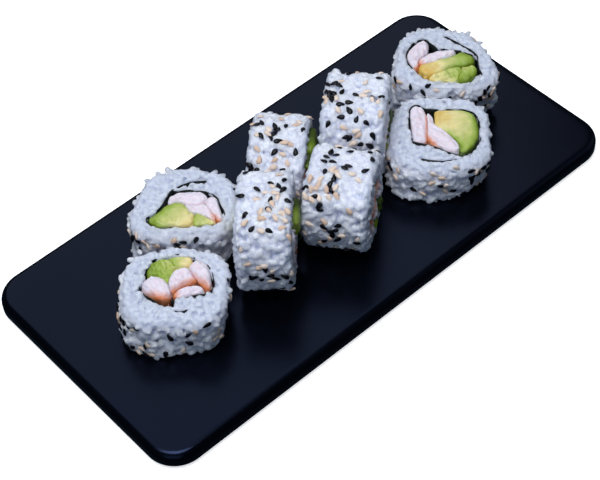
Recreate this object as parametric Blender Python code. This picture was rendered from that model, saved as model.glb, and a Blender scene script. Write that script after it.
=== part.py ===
"""Eight uramaki rolls served on a rectangular stoneware plate.

Every roll is a thick slice of one long inside-out roll: a ring of rice round a spiral strip of
nori, which holds avocado and prawn. Four slices stand on a cut face, in a pair near each end of
the plate. Four lie on their rice between the pairs, with their cut faces upright.

Sizes below are in millimetres; the meshes are built in metres. X runs along the plate's long side,
Y across it and Z up, and the origin is the middle of the plate's underside.
"""

import math
from dataclasses import dataclass

import bmesh
import bpy
import numpy as np
from mathutils import Matrix, Vector
from mathutils.geometry import tessellate_polygon

MM = 0.001
GAP = 0.3

PLATE_LENGTH = 234.0
PLATE_WIDTH = 112.6
PLATE_HEIGHT = 8.0
PLATE_CORNER_RADIUS = 13.0
PLATE_TOP_ROUND = 3.0
PLATE_FOOT_ROUND = 2.8
CORNER_SEGMENTS = 8
ROUND_SEGMENTS = 3

NORI_THICKNESS = 0.5
NORI_SEGMENTS = 34
TONGUE_MIN = 1.7
LYING_PICTURE = 0.92

OUTLINE_SEGMENTS = 44
WALL_LEVELS = 4
LUMP_HEIGHT = 0.22
LUMP_WAVES = (3, 5, 7, 9)
LUMP_SEED = 41
FILLING_SEGMENTS = 18


@dataclass(frozen=True)
class Finish:
    """Colour and surface of one material."""

    colour: tuple
    roughness: float
    metallic: float = 0.0


FINISHES = {
    "plate_glaze": Finish((0.012, 0.015, 0.024), 0.38),
    "rice": Finish((0.80, 0.84, 0.90), 0.45),
    "nori": Finish((0.012, 0.018, 0.014), 0.55),
    "avocado": Finish((0.62, 0.68, 0.22), 0.40),
    "prawn": Finish((0.90, 0.68, 0.62), 0.35),
}


@dataclass(frozen=True)
class Design:
    """The picture on a cut face, drawn for a slice of the given half sizes.

    nori lists the strip's path from its inner end, once round the filling and on to the end of
    the outer flap. Each filling is a name and the corners of its rounded outline.
    """

    half_width: float
    half_depth: float
    nori: tuple
    fillings: tuple


FIVE_CHUNKS = Design(
    20.6, 18.7,
    nori=((-1.4, -6.8), (2.8, -5.9), (8.2, -4.0), (12.4, -2.9), (13.9, 0.6), (12.9, 6.0),
          (10.4, 11.0), (5.6, 13.8), (0.0, 15.2), (-5.4, 14.2), (-9.8, 12.4), (-12.0, 8.4),
          (-12.3, 4.4), (-13.8, 1.4), (-13.5, -2.0), (-8.2, -6.6), (-4.0, -9.2), (-0.6, -10.4),
          (2.2, -12.0), (6.0, -10.9)),
    fillings=(
        ("avocado_slice", ((-3.9, 13.0), (0.0, 13.9), (3.8, 13.4), (4.4, 11.2), (2.6, 9.6),
                           (-1.2, 9.7), (-2.4, 11.6))),
        ("avocado_flesh", ((-11.0, 4.8), (-11.0, 8.2), (-9.0, 11.5), (-5.4, 12.7), (-3.0, 11.0),
                           (-1.9, 9.2), (1.4, 9.0), (-2.7, 6.2), (-3.7, 2.4), (-6.6, 4.2))),
        ("prawn_left", ((-12.6, 0.6), (-10.6, 3.2), (-7.2, 3.5), (-4.2, 1.8), (-2.0, -2.4),
                        (-2.2, -5.0), (-3.6, -7.3), (-7.8, -5.6), (-12.2, -1.8))),
        ("prawn_middle", ((-2.8, 1.6), (-2.2, 4.8), (0.2, 7.4), (3.4, 8.1), (5.0, 6.0),
                          (7.4, 1.6), (3.2, 0.8), (0.4, -1.2), (-1.0, -3.0))),
        ("prawn_right", ((4.1, 9.3), (6.0, 11.6), (8.9, 10.9), (11.2, 8.0), (12.2, 4.0),
                         (12.9, 0.0), (11.8, -1.8), (10.4, -0.6), (8.6, 2.0), (6.2, 5.4))),
        ("prawn_low", ((-0.4, -5.0), (0.6, -2.6), (4.0, -0.5), (7.8, 0.1), (10.0, -1.3),
                       (9.6, -2.5), (6.2, -3.6), (2.2, -4.9))),
    ),
)

WIDE_AVOCADO = Design(
    19.6, 16.6,
    nori=((-4.0, 3.7), (2.0, 5.1), (8.2, 4.2), (12.4, 2.0), (14.3, -2.0), (16.0, -6.2),
          (16.9, -9.2), (14.6, -11.8), (9.0, -13.1), (3.0, -13.9), (-3.0, -13.9), (-8.4, -14.2),
          (-12.4, -12.0), (-13.6, -9.2), (-10.4, -6.6), (-8.2, -3.0), (-7.0, 0.6), (-5.4, 4.4),
          (-2.4, 6.9), (0.6, 8.7), (4.2, 9.6), (8.0, 9.9)),
    fillings=(
        ("avocado_slab", ((-12.2, -10.2), (-9.2, -6.6), (-6.6, -3.2), (-3.0, -1.6), (0.2, -2.4),
                          (2.0, -5.5), (4.2, -7.2), (4.5, -10.2), (3.4, -12.9), (-3.0, -13.0),
                          (-8.2, -13.2))),
        ("avocado_end", ((5.6, -7.2), (8.8, -8.5), (11.4, -10.2), (12.6, -11.3), (7.8, -12.3),
                         (5.4, -12.4))),
        ("prawn_back", ((-5.7, 0.2), (-4.0, 2.5), (-1.2, 3.6), (3.0, 4.1), (7.4, 3.3), (8.6, 1.0),
                        (8.0, -1.8), (4.6, -2.2), (1.0, -1.8), (-2.6, -0.8), (-5.4, -1.5))),
        ("prawn_middle", ((1.2, -2.7), (5.2, -3.0), (8.4, -2.6), (11.4, -6.8), (13.2, -10.0),
                          (9.6, -7.8), (5.4, -6.4), (2.9, -5.2))),
        ("prawn_right", ((9.7, 1.0), (12.0, 1.2), (13.1, -1.4), (15.0, -7.2), (15.7, -9.5),
                         (14.0, -9.9), (11.6, -5.8), (9.0, -1.9))),
    ),
)

GREEN_RIM = Design(
    21.0, 20.6,
    nori=((6.2, -11.5), (0.6, -9.2), (-4.0, -6.4), (-8.0, -5.5), (-11.3, -4.6), (-12.4, -0.8),
          (-13.0, 5.2), (-13.1, 11.2), (-11.6, 15.2), (-8.6, 15.5), (-6.4, 13.4), (0.0, 13.1),
          (6.0, 13.1), (11.0, 12.5), (14.4, 9.2), (15.5, 2.2), (15.3, -2.8), (13.4, -7.4),
          (10.2, -11.0), (6.0, -13.4), (0.0, -14.6), (-4.4, -14.5), (-8.2, -13.6)),
    fillings=(
        ("avocado_half", ((-2.2, 11.6), (2.0, 12.1), (7.6, 12.3), (11.4, 11.0), (13.6, 7.8),
                          (14.6, 2.2), (14.3, -2.8), (12.4, -7.0), (10.0, -9.8), (7.6, -10.9),
                          (7.3, -7.0), (6.4, -4.0), (4.2, -1.0), (1.6, 1.8), (-1.0, 3.8),
                          (-2.8, 5.6), (-2.2, 8.6))),
        ("prawn_left", ((-12.0, 13.0), (-9.6, 14.6), (-7.8, 13.0), (-6.3, 9.8), (-5.9, 4.2),
                        (-5.7, -1.3), (-6.2, -4.5), (-8.8, -4.4), (-10.8, -3.6), (-11.5, 1.2),
                        (-12.1, 7.2))),
        ("prawn_right", ((-5.5, 10.6), (-3.9, 8.6), (-3.2, 5.4), (-1.4, 3.2), (1.2, 1.2),
                         (3.6, -1.8), (5.9, -4.8), (6.7, -7.4), (6.2, -9.5), (1.6, -8.4),
                         (-1.4, -6.6), (-5.1, -4.9), (-5.3, 3.2))),
    ),
)

STACKED_BARS = Design(
    20.4, 17.4,
    nori=((11.8, 0.9), (6.4, 3.5), (0.6, 4.2), (-2.6, 5.0), (-5.0, 7.2), (-7.4, 9.9),
          (-10.2, 9.8), (-13.0, 7.4), (-15.0, 3.6), (-15.7, 0.0), (-14.6, -4.0), (-12.2, -8.4),
          (-9.2, -12.2), (-5.8, -14.2), (0.0, -14.4), (6.0, -15.0), (12.0, -15.0), (15.4, -12.6),
          (14.4, -8.0), (13.8, -4.0), (13.6, 0.4), (11.0, 4.0), (7.6, 6.8), (4.4, 9.2),
          (2.0, 11.2), (-1.4, 12.6)),
    fillings=(
        ("prawn_left", ((-14.9, 0.2), (-13.6, 4.0), (-11.0, 7.2), (-9.0, 8.9), (-7.0, 7.8),
                        (-6.7, 4.4), (-7.6, 2.0), (-9.6, 0.2), (-10.8, -2.0), (-10.7, -5.4),
                        (-11.0, -8.8), (-12.3, -6.8), (-13.9, -3.4))),
        ("prawn_bar", ((-10.0, -2.2), (-8.2, -0.2), (-5.8, 1.5), (-2.2, 2.9), (2.0, 3.3),
                       (4.8, 2.6), (2.6, 0.5), (-2.0, -1.2), (-6.0, -3.0), (-9.6, -4.4))),
        ("avocado_bar", ((-9.6, -5.4), (-5.8, -3.8), (-1.2, -1.8), (3.6, 0.0), (6.4, 2.4),
                         (9.2, 1.5), (11.4, 0.0), (12.6, -2.6), (9.8, -4.9), (4.5, -5.1),
                         (1.0, -6.8), (-3.0, -9.1), (-6.6, -10.4), (-9.4, -9.4))),
        ("avocado_low", ((-5.6, -13.0), (-4.6, -10.9), (-1.0, -9.0), (2.4, -6.7), (6.0, -6.1),
                         (6.6, -8.2), (5.5, -11.0), (5.0, -13.7), (0.0, -13.6))),
        ("avocado_lump", ((7.6, -6.4), (10.2, -5.8), (12.4, -5.9), (13.1, -8.0), (12.2, -11.0),
                          (10.4, -13.7), (7.0, -14.2), (6.2, -12.0), (7.2, -9.0))),
    ),
)


@dataclass(frozen=True)
class Roll:
    """One slice: its place on the plate, its size and the picture on its cut faces.

    A standing slice has its width along the yaw direction; a lying one has its axis there. The
    outline is a superellipse of the given squareness, which narrows by taper and moves sideways
    by lean from its front to its back. shift moves all of it sideways past its picture. A
    lying slice that has rolled half round has its picture upside down.
    """

    number: int
    design: Design
    lying: bool
    centre_x: float
    centre_y: float
    yaw: float
    half_width: float
    half_depth: float
    thickness: float
    squareness: float
    taper: float = 0.0
    lean: float = 0.0
    shift: float = 0.0
    half_turned: bool = False


ROLLS = (
    Roll(1, FIVE_CHUNKS, False, -71.1, -7.2, -45.0, 20.6, 18.7, 20.0, 3.1),
    Roll(2, WIDE_AVOCADO, False, -44.4, 20.2, -45.0, 19.6, 16.6, 25.0, 2.9, 0.12, 0.08, 0.9),
    Roll(3, GREEN_RIM, True, -30.5, -12.9, -44.0, 20.8, 20.8, 22.2, 2.8),
    Roll(4, WIDE_AVOCADO, True, 0.4, 14.1, -48.0, 18.6, 16.5, 24.0, 2.6, half_turned=True),
    Roll(5, FIVE_CHUNKS, True, 2.8, -18.2, -54.0, 18.3, 18.3, 25.5, 2.8, half_turned=True),
    Roll(6, STACKED_BARS, True, 34.1, 7.0, -50.0, 19.3, 18.5, 25.0, 2.7),
    Roll(7, GREEN_RIM, False, 55.2, -20.0, -45.0, 21.0, 21.0, 18.8, 2.8),
    Roll(8, STACKED_BARS, False, 84.0, 7.3, -45.0, 20.4, 17.4, 23.0, 2.6, 0.18, -0.18),
)


def clear_scene():
    """Remove every object that the file opened with."""
    for old in list(bpy.data.objects):
        bpy.data.objects.remove(old, do_unlink=True)


def make_materials():
    """Make one Principled material for each finish."""
    made = {}
    for name, finish in FINISHES.items():
        material = bpy.data.materials.new(name)
        material.use_nodes = True
        shader = material.node_tree.nodes["Principled BSDF"]
        shader.inputs["Base Color"].default_value = (*finish.colour, 1.0)
        shader.inputs["Roughness"].default_value = finish.roughness
        shader.inputs["Metallic"].default_value = finish.metallic
        made[name] = material
    return made


def add_object(name, mesh, material, parent=None):
    """Link a mesh as a named node, dressed and parented."""
    mesh.materials.append(material)
    node = bpy.data.objects.new(name, mesh)
    bpy.context.scene.collection.objects.link(node)
    node.parent = parent
    return node


def spline(points, samples, closed):
    """Sample a Catmull-Rom curve through the points, evenly along its length."""
    given = np.asarray(points, dtype=float)
    count = len(given)
    steps = 12
    spans = count if closed else count - 1
    along = np.arange(spans * steps + 1) / steps
    first = np.minimum(along.astype(int), spans - 1)
    t = (along - first)[:, None]
    index = [first - 1, first, first + 1, first + 2]
    if closed:
        a, b, c, d = (given[i % count] for i in index)
    else:
        a, b, c, d = (given[np.clip(i, 0, count - 1)] for i in index)
    fine = 0.5 * (2 * b + (c - a) * t + (2 * a - 5 * b + 4 * c - d) * t ** 2
                  + (3 * b - a - 3 * c + d) * t ** 3)
    run = np.concatenate(([0.0], np.cumsum(np.linalg.norm(np.diff(fine, axis=0), axis=1))))
    wanted = np.linspace(0.0, run[-1], samples, endpoint=not closed)
    return np.stack([np.interp(wanted, run, fine[:, axis]) for axis in (0, 1)], axis=1)


def signed_area(loop):
    """Area of a flat loop, positive when it runs anticlockwise."""
    ahead = np.roll(loop, -1, axis=0)
    return 0.5 * np.sum(loop[:, 0] * ahead[:, 1] - loop[:, 1] * ahead[:, 0])


def offset_path(path, distance):
    """Move an open path sideways, to its left for a positive distance."""
    run = np.gradient(path, axis=0)
    run /= np.linalg.norm(run, axis=1, keepdims=True)
    return path + distance * np.stack([-run[:, 1], run[:, 0]], axis=1)


def extrude(loops, low, high):
    """Close the area between an outer loop and its holes into a prism from low to high.

    low and high are heights; a loop may carry its own levels as an array (levels, points, 2).
    """
    outer_levels = loops[0] if loops[0].ndim == 3 else np.stack([loops[0], loops[0]])
    stacks = [outer_levels] + [np.stack([hole, hole]) for hole in loops[1:]]
    work = bmesh.new()
    rims = []
    for stack in stacks:
        heights = np.linspace(low, high, len(stack))
        rings = [[work.verts.new((u * MM, v * MM, h * MM)) for u, v in ring]
                 for ring, h in zip(stack, heights)]
        for under, over in zip(rings, rings[1:]):
            for i in range(len(under)):
                j = (i + 1) % len(under)
                work.faces.new((under[i], under[j], over[j], over[i]))
        rims.append((rings[0], rings[-1]))
    for side in (0, 1):
        ring_verts = [rim[side] for rim in rims]
        flat = [vert for ring in ring_verts for vert in ring]
        for corners in tessellate_polygon([[vert.co for vert in ring] for ring in ring_verts]):
            work.faces.new([flat[k] for k in corners])
    bmesh.ops.recalc_face_normals(work, faces=work.faces)
    mesh = bpy.data.meshes.new("prism")
    work.to_mesh(mesh)
    work.free()
    return mesh


def slice_outline(roll):
    """Lumpy superellipse of the rice's outside, at each level of the slice."""
    rng = np.random.default_rng(LUMP_SEED + roll.number)
    angle = np.linspace(0.0, 2 * math.pi, OUTLINE_SEGMENTS, endpoint=False)
    level = np.linspace(0.0, 1.0, WALL_LEVELS)[:, None]
    power = 2.0 / roll.squareness
    u = np.sign(np.cos(angle)) * np.abs(np.cos(angle)) ** power
    v = np.sign(np.sin(angle)) * np.abs(np.sin(angle)) ** power
    lump = np.zeros((WALL_LEVELS, OUTLINE_SEGMENTS))
    for waves in LUMP_WAVES:
        start, drift = rng.uniform(0.0, 2 * math.pi), rng.uniform(-2.0, 2.0)
        lump += LUMP_HEIGHT * np.sin(waves * angle + start + drift * level)
    u = u * (roll.half_width + lump) * (1.0 - roll.taper * v)
    v = v * (roll.half_depth + lump)
    if roll.lying:
        v = np.maximum(v, -roll.half_depth)
    return np.stack([u + roll.lean * v + roll.shift, v], axis=2)


def fitted(roll, points):
    """Fit a design's points to the slice; a lying slice has its picture smaller and centred."""
    design = roll.design
    ratio = np.array([roll.half_width / design.half_width, roll.half_depth / design.half_depth])
    if not roll.lying:
        return points * ratio
    nori = np.asarray(design.nori)
    middle = (nori.min(axis=0) + nori.max(axis=0)) / 2
    facing = -1.0 if roll.half_turned else 1.0
    return (points - middle) * ratio * LYING_PICTURE * facing


def outward_side(path):
    """+1 when the filling lies to the right of the nori's path, and -1 when it is to the left."""
    return -1.0 if signed_area(path) > 0 else 1.0


def nori_outline(path):
    """Both faces of the strip as one thin closed loop."""
    half = NORI_THICKNESS / 2
    return np.concatenate([offset_path(path, half), offset_path(path, -half)[::-1]])


def rice_hole(path):
    """Hollow of the rice ring: round the strip's outside and back under its flap.

    The rice reaches in between the strip's two laps, in a tongue that ends where the laps come
    closer together than TONGUE_MIN.
    """
    reach = outward_side(path) * (NORI_THICKNESS / 2 + GAP)
    outside, inside = offset_path(path, reach), offset_path(path, -reach)
    early = path[:len(path) // 3]
    flap_from = 2 * len(path) // 3
    apart = np.linalg.norm(path[flap_from:, None] - early[None], axis=2)
    touching = apart.min(axis=1) < TONGUE_MIN
    touching[apart[:, 0].argmin()] = True
    tongue_end = flap_from + np.nonzero(touching)[0][-1] + 1
    tongue_start = int(apart[tongue_end - flap_from].argmin())
    ahead = path[-1] - path[-2]
    clear = ahead / np.linalg.norm(ahead) * GAP
    tip = np.stack([outside[-1] + clear, inside[-1] + clear])
    return np.concatenate([outside[tongue_start:-1], tip, inside[tongue_end:-1][::-1]])


def build_plate(materials):
    """Flat plate with rounded corners, a round upper edge and a round foot."""
    half_x = PLATE_LENGTH / 2 - PLATE_CORNER_RADIUS
    half_y = PLATE_WIDTH / 2 - PLATE_CORNER_RADIUS
    turn = np.linspace(0.0, math.pi / 2, CORNER_SEGMENTS + 1)
    arcs = [(sx * half_x, sy * half_y, quarter * math.pi / 2)
            for quarter, (sx, sy) in enumerate(((1, 1), (-1, 1), (-1, -1), (1, -1)))]

    def ring(inset, height):
        radius = PLATE_CORNER_RADIUS - inset
        return [(cx + radius * math.cos(start + t), cy + radius * math.sin(start + t), height)
                for cx, cy, start in arcs for t in turn]

    quarter_turn = np.linspace(0.0, math.pi / 2, ROUND_SEGMENTS + 1)
    profile = [(PLATE_FOOT_ROUND * (1 - math.sin(t)), PLATE_FOOT_ROUND * (1 - math.cos(t)))
               for t in quarter_turn]
    profile += [(PLATE_TOP_ROUND * (1 - math.cos(t)),
                 PLATE_HEIGHT - PLATE_TOP_ROUND * (1 - math.sin(t))) for t in quarter_turn]
    work = bmesh.new()
    rings = [[work.verts.new(Vector(corner) * MM) for corner in ring(inset, height)]
             for inset, height in profile]
    for under, over in zip(rings, rings[1:]):
        for i in range(len(under)):
            j = (i + 1) % len(under)
            work.faces.new((under[i], under[j], over[j], over[i]))
    work.faces.new(rings[-1])
    work.faces.new(rings[0][::-1])
    bmesh.ops.recalc_face_normals(work, faces=work.faces)
    mesh = bpy.data.meshes.new("plate")
    work.to_mesh(mesh)
    work.free()
    mesh.shade_smooth()
    mesh.set_sharp_from_angle(angle=math.radians(40))
    add_object("plate", mesh, materials["plate_glaze"])


def roll_frame(roll):
    """Empty at the centre of the slice's first cut face, with its Z along the slice's axis."""
    yaw = math.radians(roll.yaw)
    along = Vector((math.cos(yaw), math.sin(yaw), 0.0))
    across = Vector((-math.sin(yaw), math.cos(yaw), 0.0))
    up = Vector((0.0, 0.0, 1.0))
    rest = PLATE_HEIGHT + GAP
    if roll.lying:
        sides = (across, up, along)
        start = Vector((roll.centre_x, roll.centre_y, rest + roll.half_depth))
        start -= along * roll.thickness / 2
    else:
        sides = (along, across, up)
        start = Vector((roll.centre_x, roll.centre_y, rest))
    frame = bpy.data.objects.new(f"roll_{roll.number}", None)
    bpy.context.scene.collection.objects.link(frame)
    turned = Matrix(sides).transposed().to_4x4()
    frame.location = start * MM
    frame.rotation_euler = turned.to_euler()
    return frame


def build_roll(roll, materials):
    """Rice ring, nori strip and fillings of one slice, each through its whole thickness."""
    frame = roll_frame(roll)
    path = fitted(roll, spline(roll.design.nori, NORI_SEGMENTS + 1, closed=False))
    rice = extrude([slice_outline(roll), rice_hole(path)], 0.0, roll.thickness)
    add_object(f"rice_{roll.number}", rice, materials["rice"], frame)
    nori = extrude([nori_outline(path)], 0.0, roll.thickness)
    add_object(f"nori_{roll.number}", nori, materials["nori"], frame)
    for name, corners in roll.design.fillings:
        outline = fitted(roll, spline(corners, FILLING_SEGMENTS, closed=True))
        chunk = extrude([outline], 0.0, roll.thickness)
        kind = name.split("_")[0]
        add_object(f"{name}_{roll.number}", chunk, materials[kind], frame)


def main():
    """Build the plate and the eight slices on it."""
    clear_scene()
    materials = make_materials()
    build_plate(materials)
    for roll in ROLLS:
        build_roll(roll, materials)
    bpy.context.view_layer.update()


main()
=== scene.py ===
"""Eight uramaki rolls, inside-out sushi with prawn and avocado, on a flat stoneware plate.

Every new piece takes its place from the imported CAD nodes. A slice is worked out in its own frame,
in millimetres: u and v lie in its cut faces and w runs along its axis, from 0 at the first cut
face. Rice is grains pressed round a smaller core and fused, as sticky rice is. Row-frame meshes
are in metres, with the objects at the origin.
"""

import logging
import math
from dataclasses import dataclass, field, replace
from enum import Enum, IntEnum

import bpy
import numpy as np
from mathutils import Matrix, Vector
from mathutils.bvhtree import BVHTree


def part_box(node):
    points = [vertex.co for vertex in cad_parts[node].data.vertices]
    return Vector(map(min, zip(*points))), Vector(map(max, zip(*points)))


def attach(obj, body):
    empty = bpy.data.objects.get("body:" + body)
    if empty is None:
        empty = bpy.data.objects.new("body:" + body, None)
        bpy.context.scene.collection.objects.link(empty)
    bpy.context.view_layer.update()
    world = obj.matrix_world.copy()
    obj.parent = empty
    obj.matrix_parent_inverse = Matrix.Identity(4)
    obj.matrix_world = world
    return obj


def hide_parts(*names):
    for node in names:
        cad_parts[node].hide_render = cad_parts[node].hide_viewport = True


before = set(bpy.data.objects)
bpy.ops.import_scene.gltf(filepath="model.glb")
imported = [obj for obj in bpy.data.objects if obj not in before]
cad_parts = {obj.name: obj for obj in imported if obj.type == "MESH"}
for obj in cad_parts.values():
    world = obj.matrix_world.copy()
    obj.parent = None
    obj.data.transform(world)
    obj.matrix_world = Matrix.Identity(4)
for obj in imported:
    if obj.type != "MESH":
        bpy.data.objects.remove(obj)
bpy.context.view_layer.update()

Array = np.ndarray
Colour = tuple[float, float, float]
Mesh = bpy.types.Mesh
Piece = bpy.types.Object
Material = bpy.types.Material
Socket = bpy.types.NodeSocket

LOG = logging.getLogger("uramaki")
BODY = "root"
MM = 0.001
TURN = 2.0 * math.pi
UP = (0.0, 0.0, 1.0)
WHITE = (1.0, 1.0, 1.0)
WAVES = 14
WAVE_SPREAD = (0.7, 1.5)
CURVE_STEPS = 10
LUMP_RINGS = 7
LUMP_SIDES = 8


class Pose(Enum):
    """How a slice lies on the plate."""

    STANDING = "on a cut face"
    LYING = "on its rice"


class Design(Enum):
    """Which filling a slice was cut from."""

    FIVE_CHUNKS = "five chunks"
    WIDE_AVOCADO = "wide avocado"
    GREEN_RIM = "green rim"
    STACKED_BARS = "stacked bars"


class Kind(Enum):
    """What a filling is."""

    AVOCADO = "avocado"
    PRAWN = "prawn"


class Seed(IntEnum):
    """Where each kind of random draw starts to count; a slice adds its number."""

    CHUNKS = 40
    CLUMPS = 60
    KNIFE = 70
    RAGGED = 80
    COVER = 90
    NORI_EDGE = 300
    NORI_CRINKLE = 330
    GRAINS = 500
    BLACK_SESAME = 900
    TAN_SESAME = 950


# ---------------------------------------------------------------------------- numbers and outlines


def ripple(points: Array, length: float, seed: int) -> Array:
    """Smooth random height at each point: a sum of plane waves in random directions.

    Args:
        points: places, one row each, in the unit of length.
        length: typical wavelength.
        seed: which random waves.

    Returns:
        One height per point, with a spread of about one.
    """
    rng = np.random.default_rng(seed)
    heading = rng.normal(size=(points.shape[-1], WAVES))
    heading /= np.linalg.norm(heading, axis=0)
    pitch = TURN / (length * rng.uniform(*WAVE_SPREAD, WAVES))
    start = rng.uniform(0.0, TURN, WAVES)
    return np.cos(points @ (heading * pitch) + start).sum(axis=-1) * math.sqrt(2.0 / WAVES)


def along_line(line: Array, share: Array) -> Array:
    """Places on a flat line at shares of its length, from 0 to 1."""
    run = np.concatenate(([0.0], np.cumsum(np.linalg.norm(np.diff(line, axis=0), axis=1))))
    return np.stack([np.interp(share * run[-1], run, line[:, k]) for k in (0, 1)], axis=1)


def resampled(points: Array, samples: int, closed: bool, gathered: float = 0.0) -> Array:
    """Samples along a Catmull-Rom curve through flat points.

    Args:
        points: corners of the curve, in order.
        samples: how many points come back.
        closed: whether the curve returns to its start.
        gathered: 0 for even spacing, up to 1 for spacing that gathers towards both ends.

    Returns:
        The samples; a closed curve doesn't repeat its first one.
    """
    count = len(points)
    spans = count if closed else count - 1
    where = np.arange(spans * CURVE_STEPS + 1) / CURVE_STEPS
    first = np.minimum(where.astype(int), spans - 1)
    t = (where - first)[:, None]
    index = first + np.arange(-1, 3)[:, None]
    a, b, c, d = points[index % count if closed else np.clip(index, 0, count - 1)]
    fine = 0.5 * (2 * b + (c - a) * t + (2 * a - 5 * b + 4 * c - d) * t ** 2
                  + (3 * b - a - 3 * c + d) * t ** 3)
    share = np.linspace(0.0, 1.0, samples, endpoint=not closed)
    share = (1.0 - gathered) * share + gathered * (1.0 - np.cos(math.pi * share)) / 2
    return along_line(fine, share)


def nearest_on(points: Array, loop: Array) -> Array:
    """The place on a closed loop's sides that is nearest to each flat point.

    Args:
        points: flat points.
        loop: the loop's corners.

    Returns:
        One place per point.
    """
    side = np.roll(loop, -1, axis=0) - loop
    gap = points[:, None] - loop[None]
    share = np.clip((gap * side).sum(-1) / (side ** 2).sum(-1), 0.0, 1.0)
    away = gap - share[..., None] * side
    best = (away ** 2).sum(-1).argmin(axis=1)
    return points - away[np.arange(len(points)), best]


def edge_distance(points: Array, loop: Array) -> Array:
    """Distance from each flat point to the nearest side of a closed loop."""
    return np.linalg.norm(points - nearest_on(points, loop), axis=1)


def inside(points: Array, loop: Array) -> Array:
    """Whether flat points lie within a closed loop: a ray from each crosses an odd number of sides.

    Args:
        points: flat points.
        loop: the loop's corners.

    Returns:
        One truth value per point.
    """
    ahead = np.roll(loop, -1, axis=0)
    x, y = points[:, :1], points[:, 1:]
    spans = (loop[:, 1] > y) != (ahead[:, 1] > y)
    rise = np.where(ahead[:, 1] == loop[:, 1], 1.0, ahead[:, 1] - loop[:, 1])
    crossing = (ahead[:, 0] - loop[:, 0]) * (y - loop[:, 1]) / rise + loop[:, 0]
    return (spans & (x < crossing)).sum(axis=1) % 2 == 1


def grown(loop: Array, reach: float) -> Array:
    """A closed anticlockwise loop with every point moved outwards by the reach."""
    run = unit(np.roll(loop, -1, axis=0) - np.roll(loop, 1, axis=0))
    return loop + reach * np.column_stack([run[:, 1], -run[:, 0]])


def quarter_round(distance: Array, radius: Array | float) -> Array:
    """Fall of a quarter round at each distance in from its edge: all of the radius at the edge."""
    share = np.clip(distance / radius, 0.0, 1.0)
    return radius * (1.0 - np.sqrt(1.0 - (1.0 - share) ** 2))


def round_axis(angle: Array, reach: Array | float, w: Array) -> Array:
    """Places at an angle round the w axis, at a reach from it and a height along it."""
    return np.column_stack([np.cos(angle) * reach, np.sin(angle) * reach, w])


def unit(vectors: Array) -> Array:
    """Each row scaled to length one."""
    return vectors / np.linalg.norm(vectors, axis=-1, keepdims=True)


def toward(azimuth: float, elevation: float) -> Vector:
    """Direction of a place round the plate; azimuth 0 is before its long side, 90 at its right."""
    a, e = math.radians(azimuth), math.radians(elevation)
    return Vector((math.sin(a) * math.cos(e), -math.cos(a) * math.cos(e), math.sin(e)))


# ---------------------------------------------------------------------------- meshes


@dataclass(frozen=True)
class Shell:
    """One closed surface: points, its four-sided faces and its triangles."""

    points: Array
    quads: Array
    triangles: Array

    def moved(self, points: Array) -> "Shell":
        """The same faces over other points."""
        return Shell(points, self.quads, self.triangles)

    def repeated(self, axes: Array, places: Array) -> "Shell":
        """Many copies of the shell in one.

        Args:
            axes: per copy, the three vectors that the shell's own axes become.
            places: per copy, where its origin goes.

        Returns:
            The copies, one after the other.
        """
        count = len(places)
        moved = np.einsum("pi,nij->npj", self.points, axes) + places[:, None]
        step = (np.arange(count) * len(self.points))[:, None, None]
        return Shell(moved.reshape(-1, 3), (self.quads[None] + step).reshape(-1, 4),
                     (self.triangles[None] + step).reshape(-1, 3))

    def joined(self, other: "Shell") -> "Shell":
        """This shell and another as one.

        Args:
            other: the shell that comes after this one.

        Returns:
            Both.
        """
        step = len(self.points)
        return Shell(np.concatenate([self.points, other.points]),
                     np.concatenate([self.quads, other.quads + step]),
                     np.concatenate([self.triangles, other.triangles + step]))

    def mesh(self, name: str) -> Mesh:
        """Blender mesh of the shell, smooth shaded.

        Args:
            name: the mesh's name.

        Returns:
            The mesh.
        """
        made = bpy.data.meshes.new(name)
        corners = np.concatenate([self.quads.ravel(), self.triangles.ravel()]).astype(np.int32)
        sizes = np.repeat((4, 3), (len(self.quads), len(self.triangles)))
        starts = np.concatenate(([0], np.cumsum(sizes)[:-1])).astype(np.int32)
        made.vertices.add(len(self.points))
        made.vertices.foreach_set("co", self.points.astype(np.float32).ravel())
        made.loops.add(len(corners))
        made.loops.foreach_set("vertex_index", corners)
        made.polygons.add(len(sizes))
        made.polygons.foreach_set("loop_start", starts)
        made.update(calc_edges=True)
        made.validate()
        made.shade_smooth()
        return made


def ringed_shell(rings: Array) -> Shell:
    """Close a stack of rings into a shell, with a pole at the middle of each end ring.

    Args:
        rings: places, as (rings, points round, 3). Seen from the last ring's side the points run
            anticlockwise.

    Returns:
        The shell, its faces outwards.
    """
    rows, around = rings.shape[:2]
    here = np.arange(around)
    beside = (here + 1) % around
    row = np.arange(rows - 1)[:, None] * around
    quads = np.stack([row + here, row + beside, row + around + beside, row + around + here], axis=2)
    low, high = rows * around, rows * around + 1
    last = (rows - 1) * around
    caps = np.concatenate([
        np.stack([beside, here, np.full(around, low)], axis=1),
        np.stack([last + here, last + beside, np.full(around, high)], axis=1)])
    poles = np.stack([rings[0].mean(axis=0), rings[-1].mean(axis=0)])
    return Shell(np.concatenate([rings.reshape(-1, 3), poles]), quads.reshape(-1, 4), caps)


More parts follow.
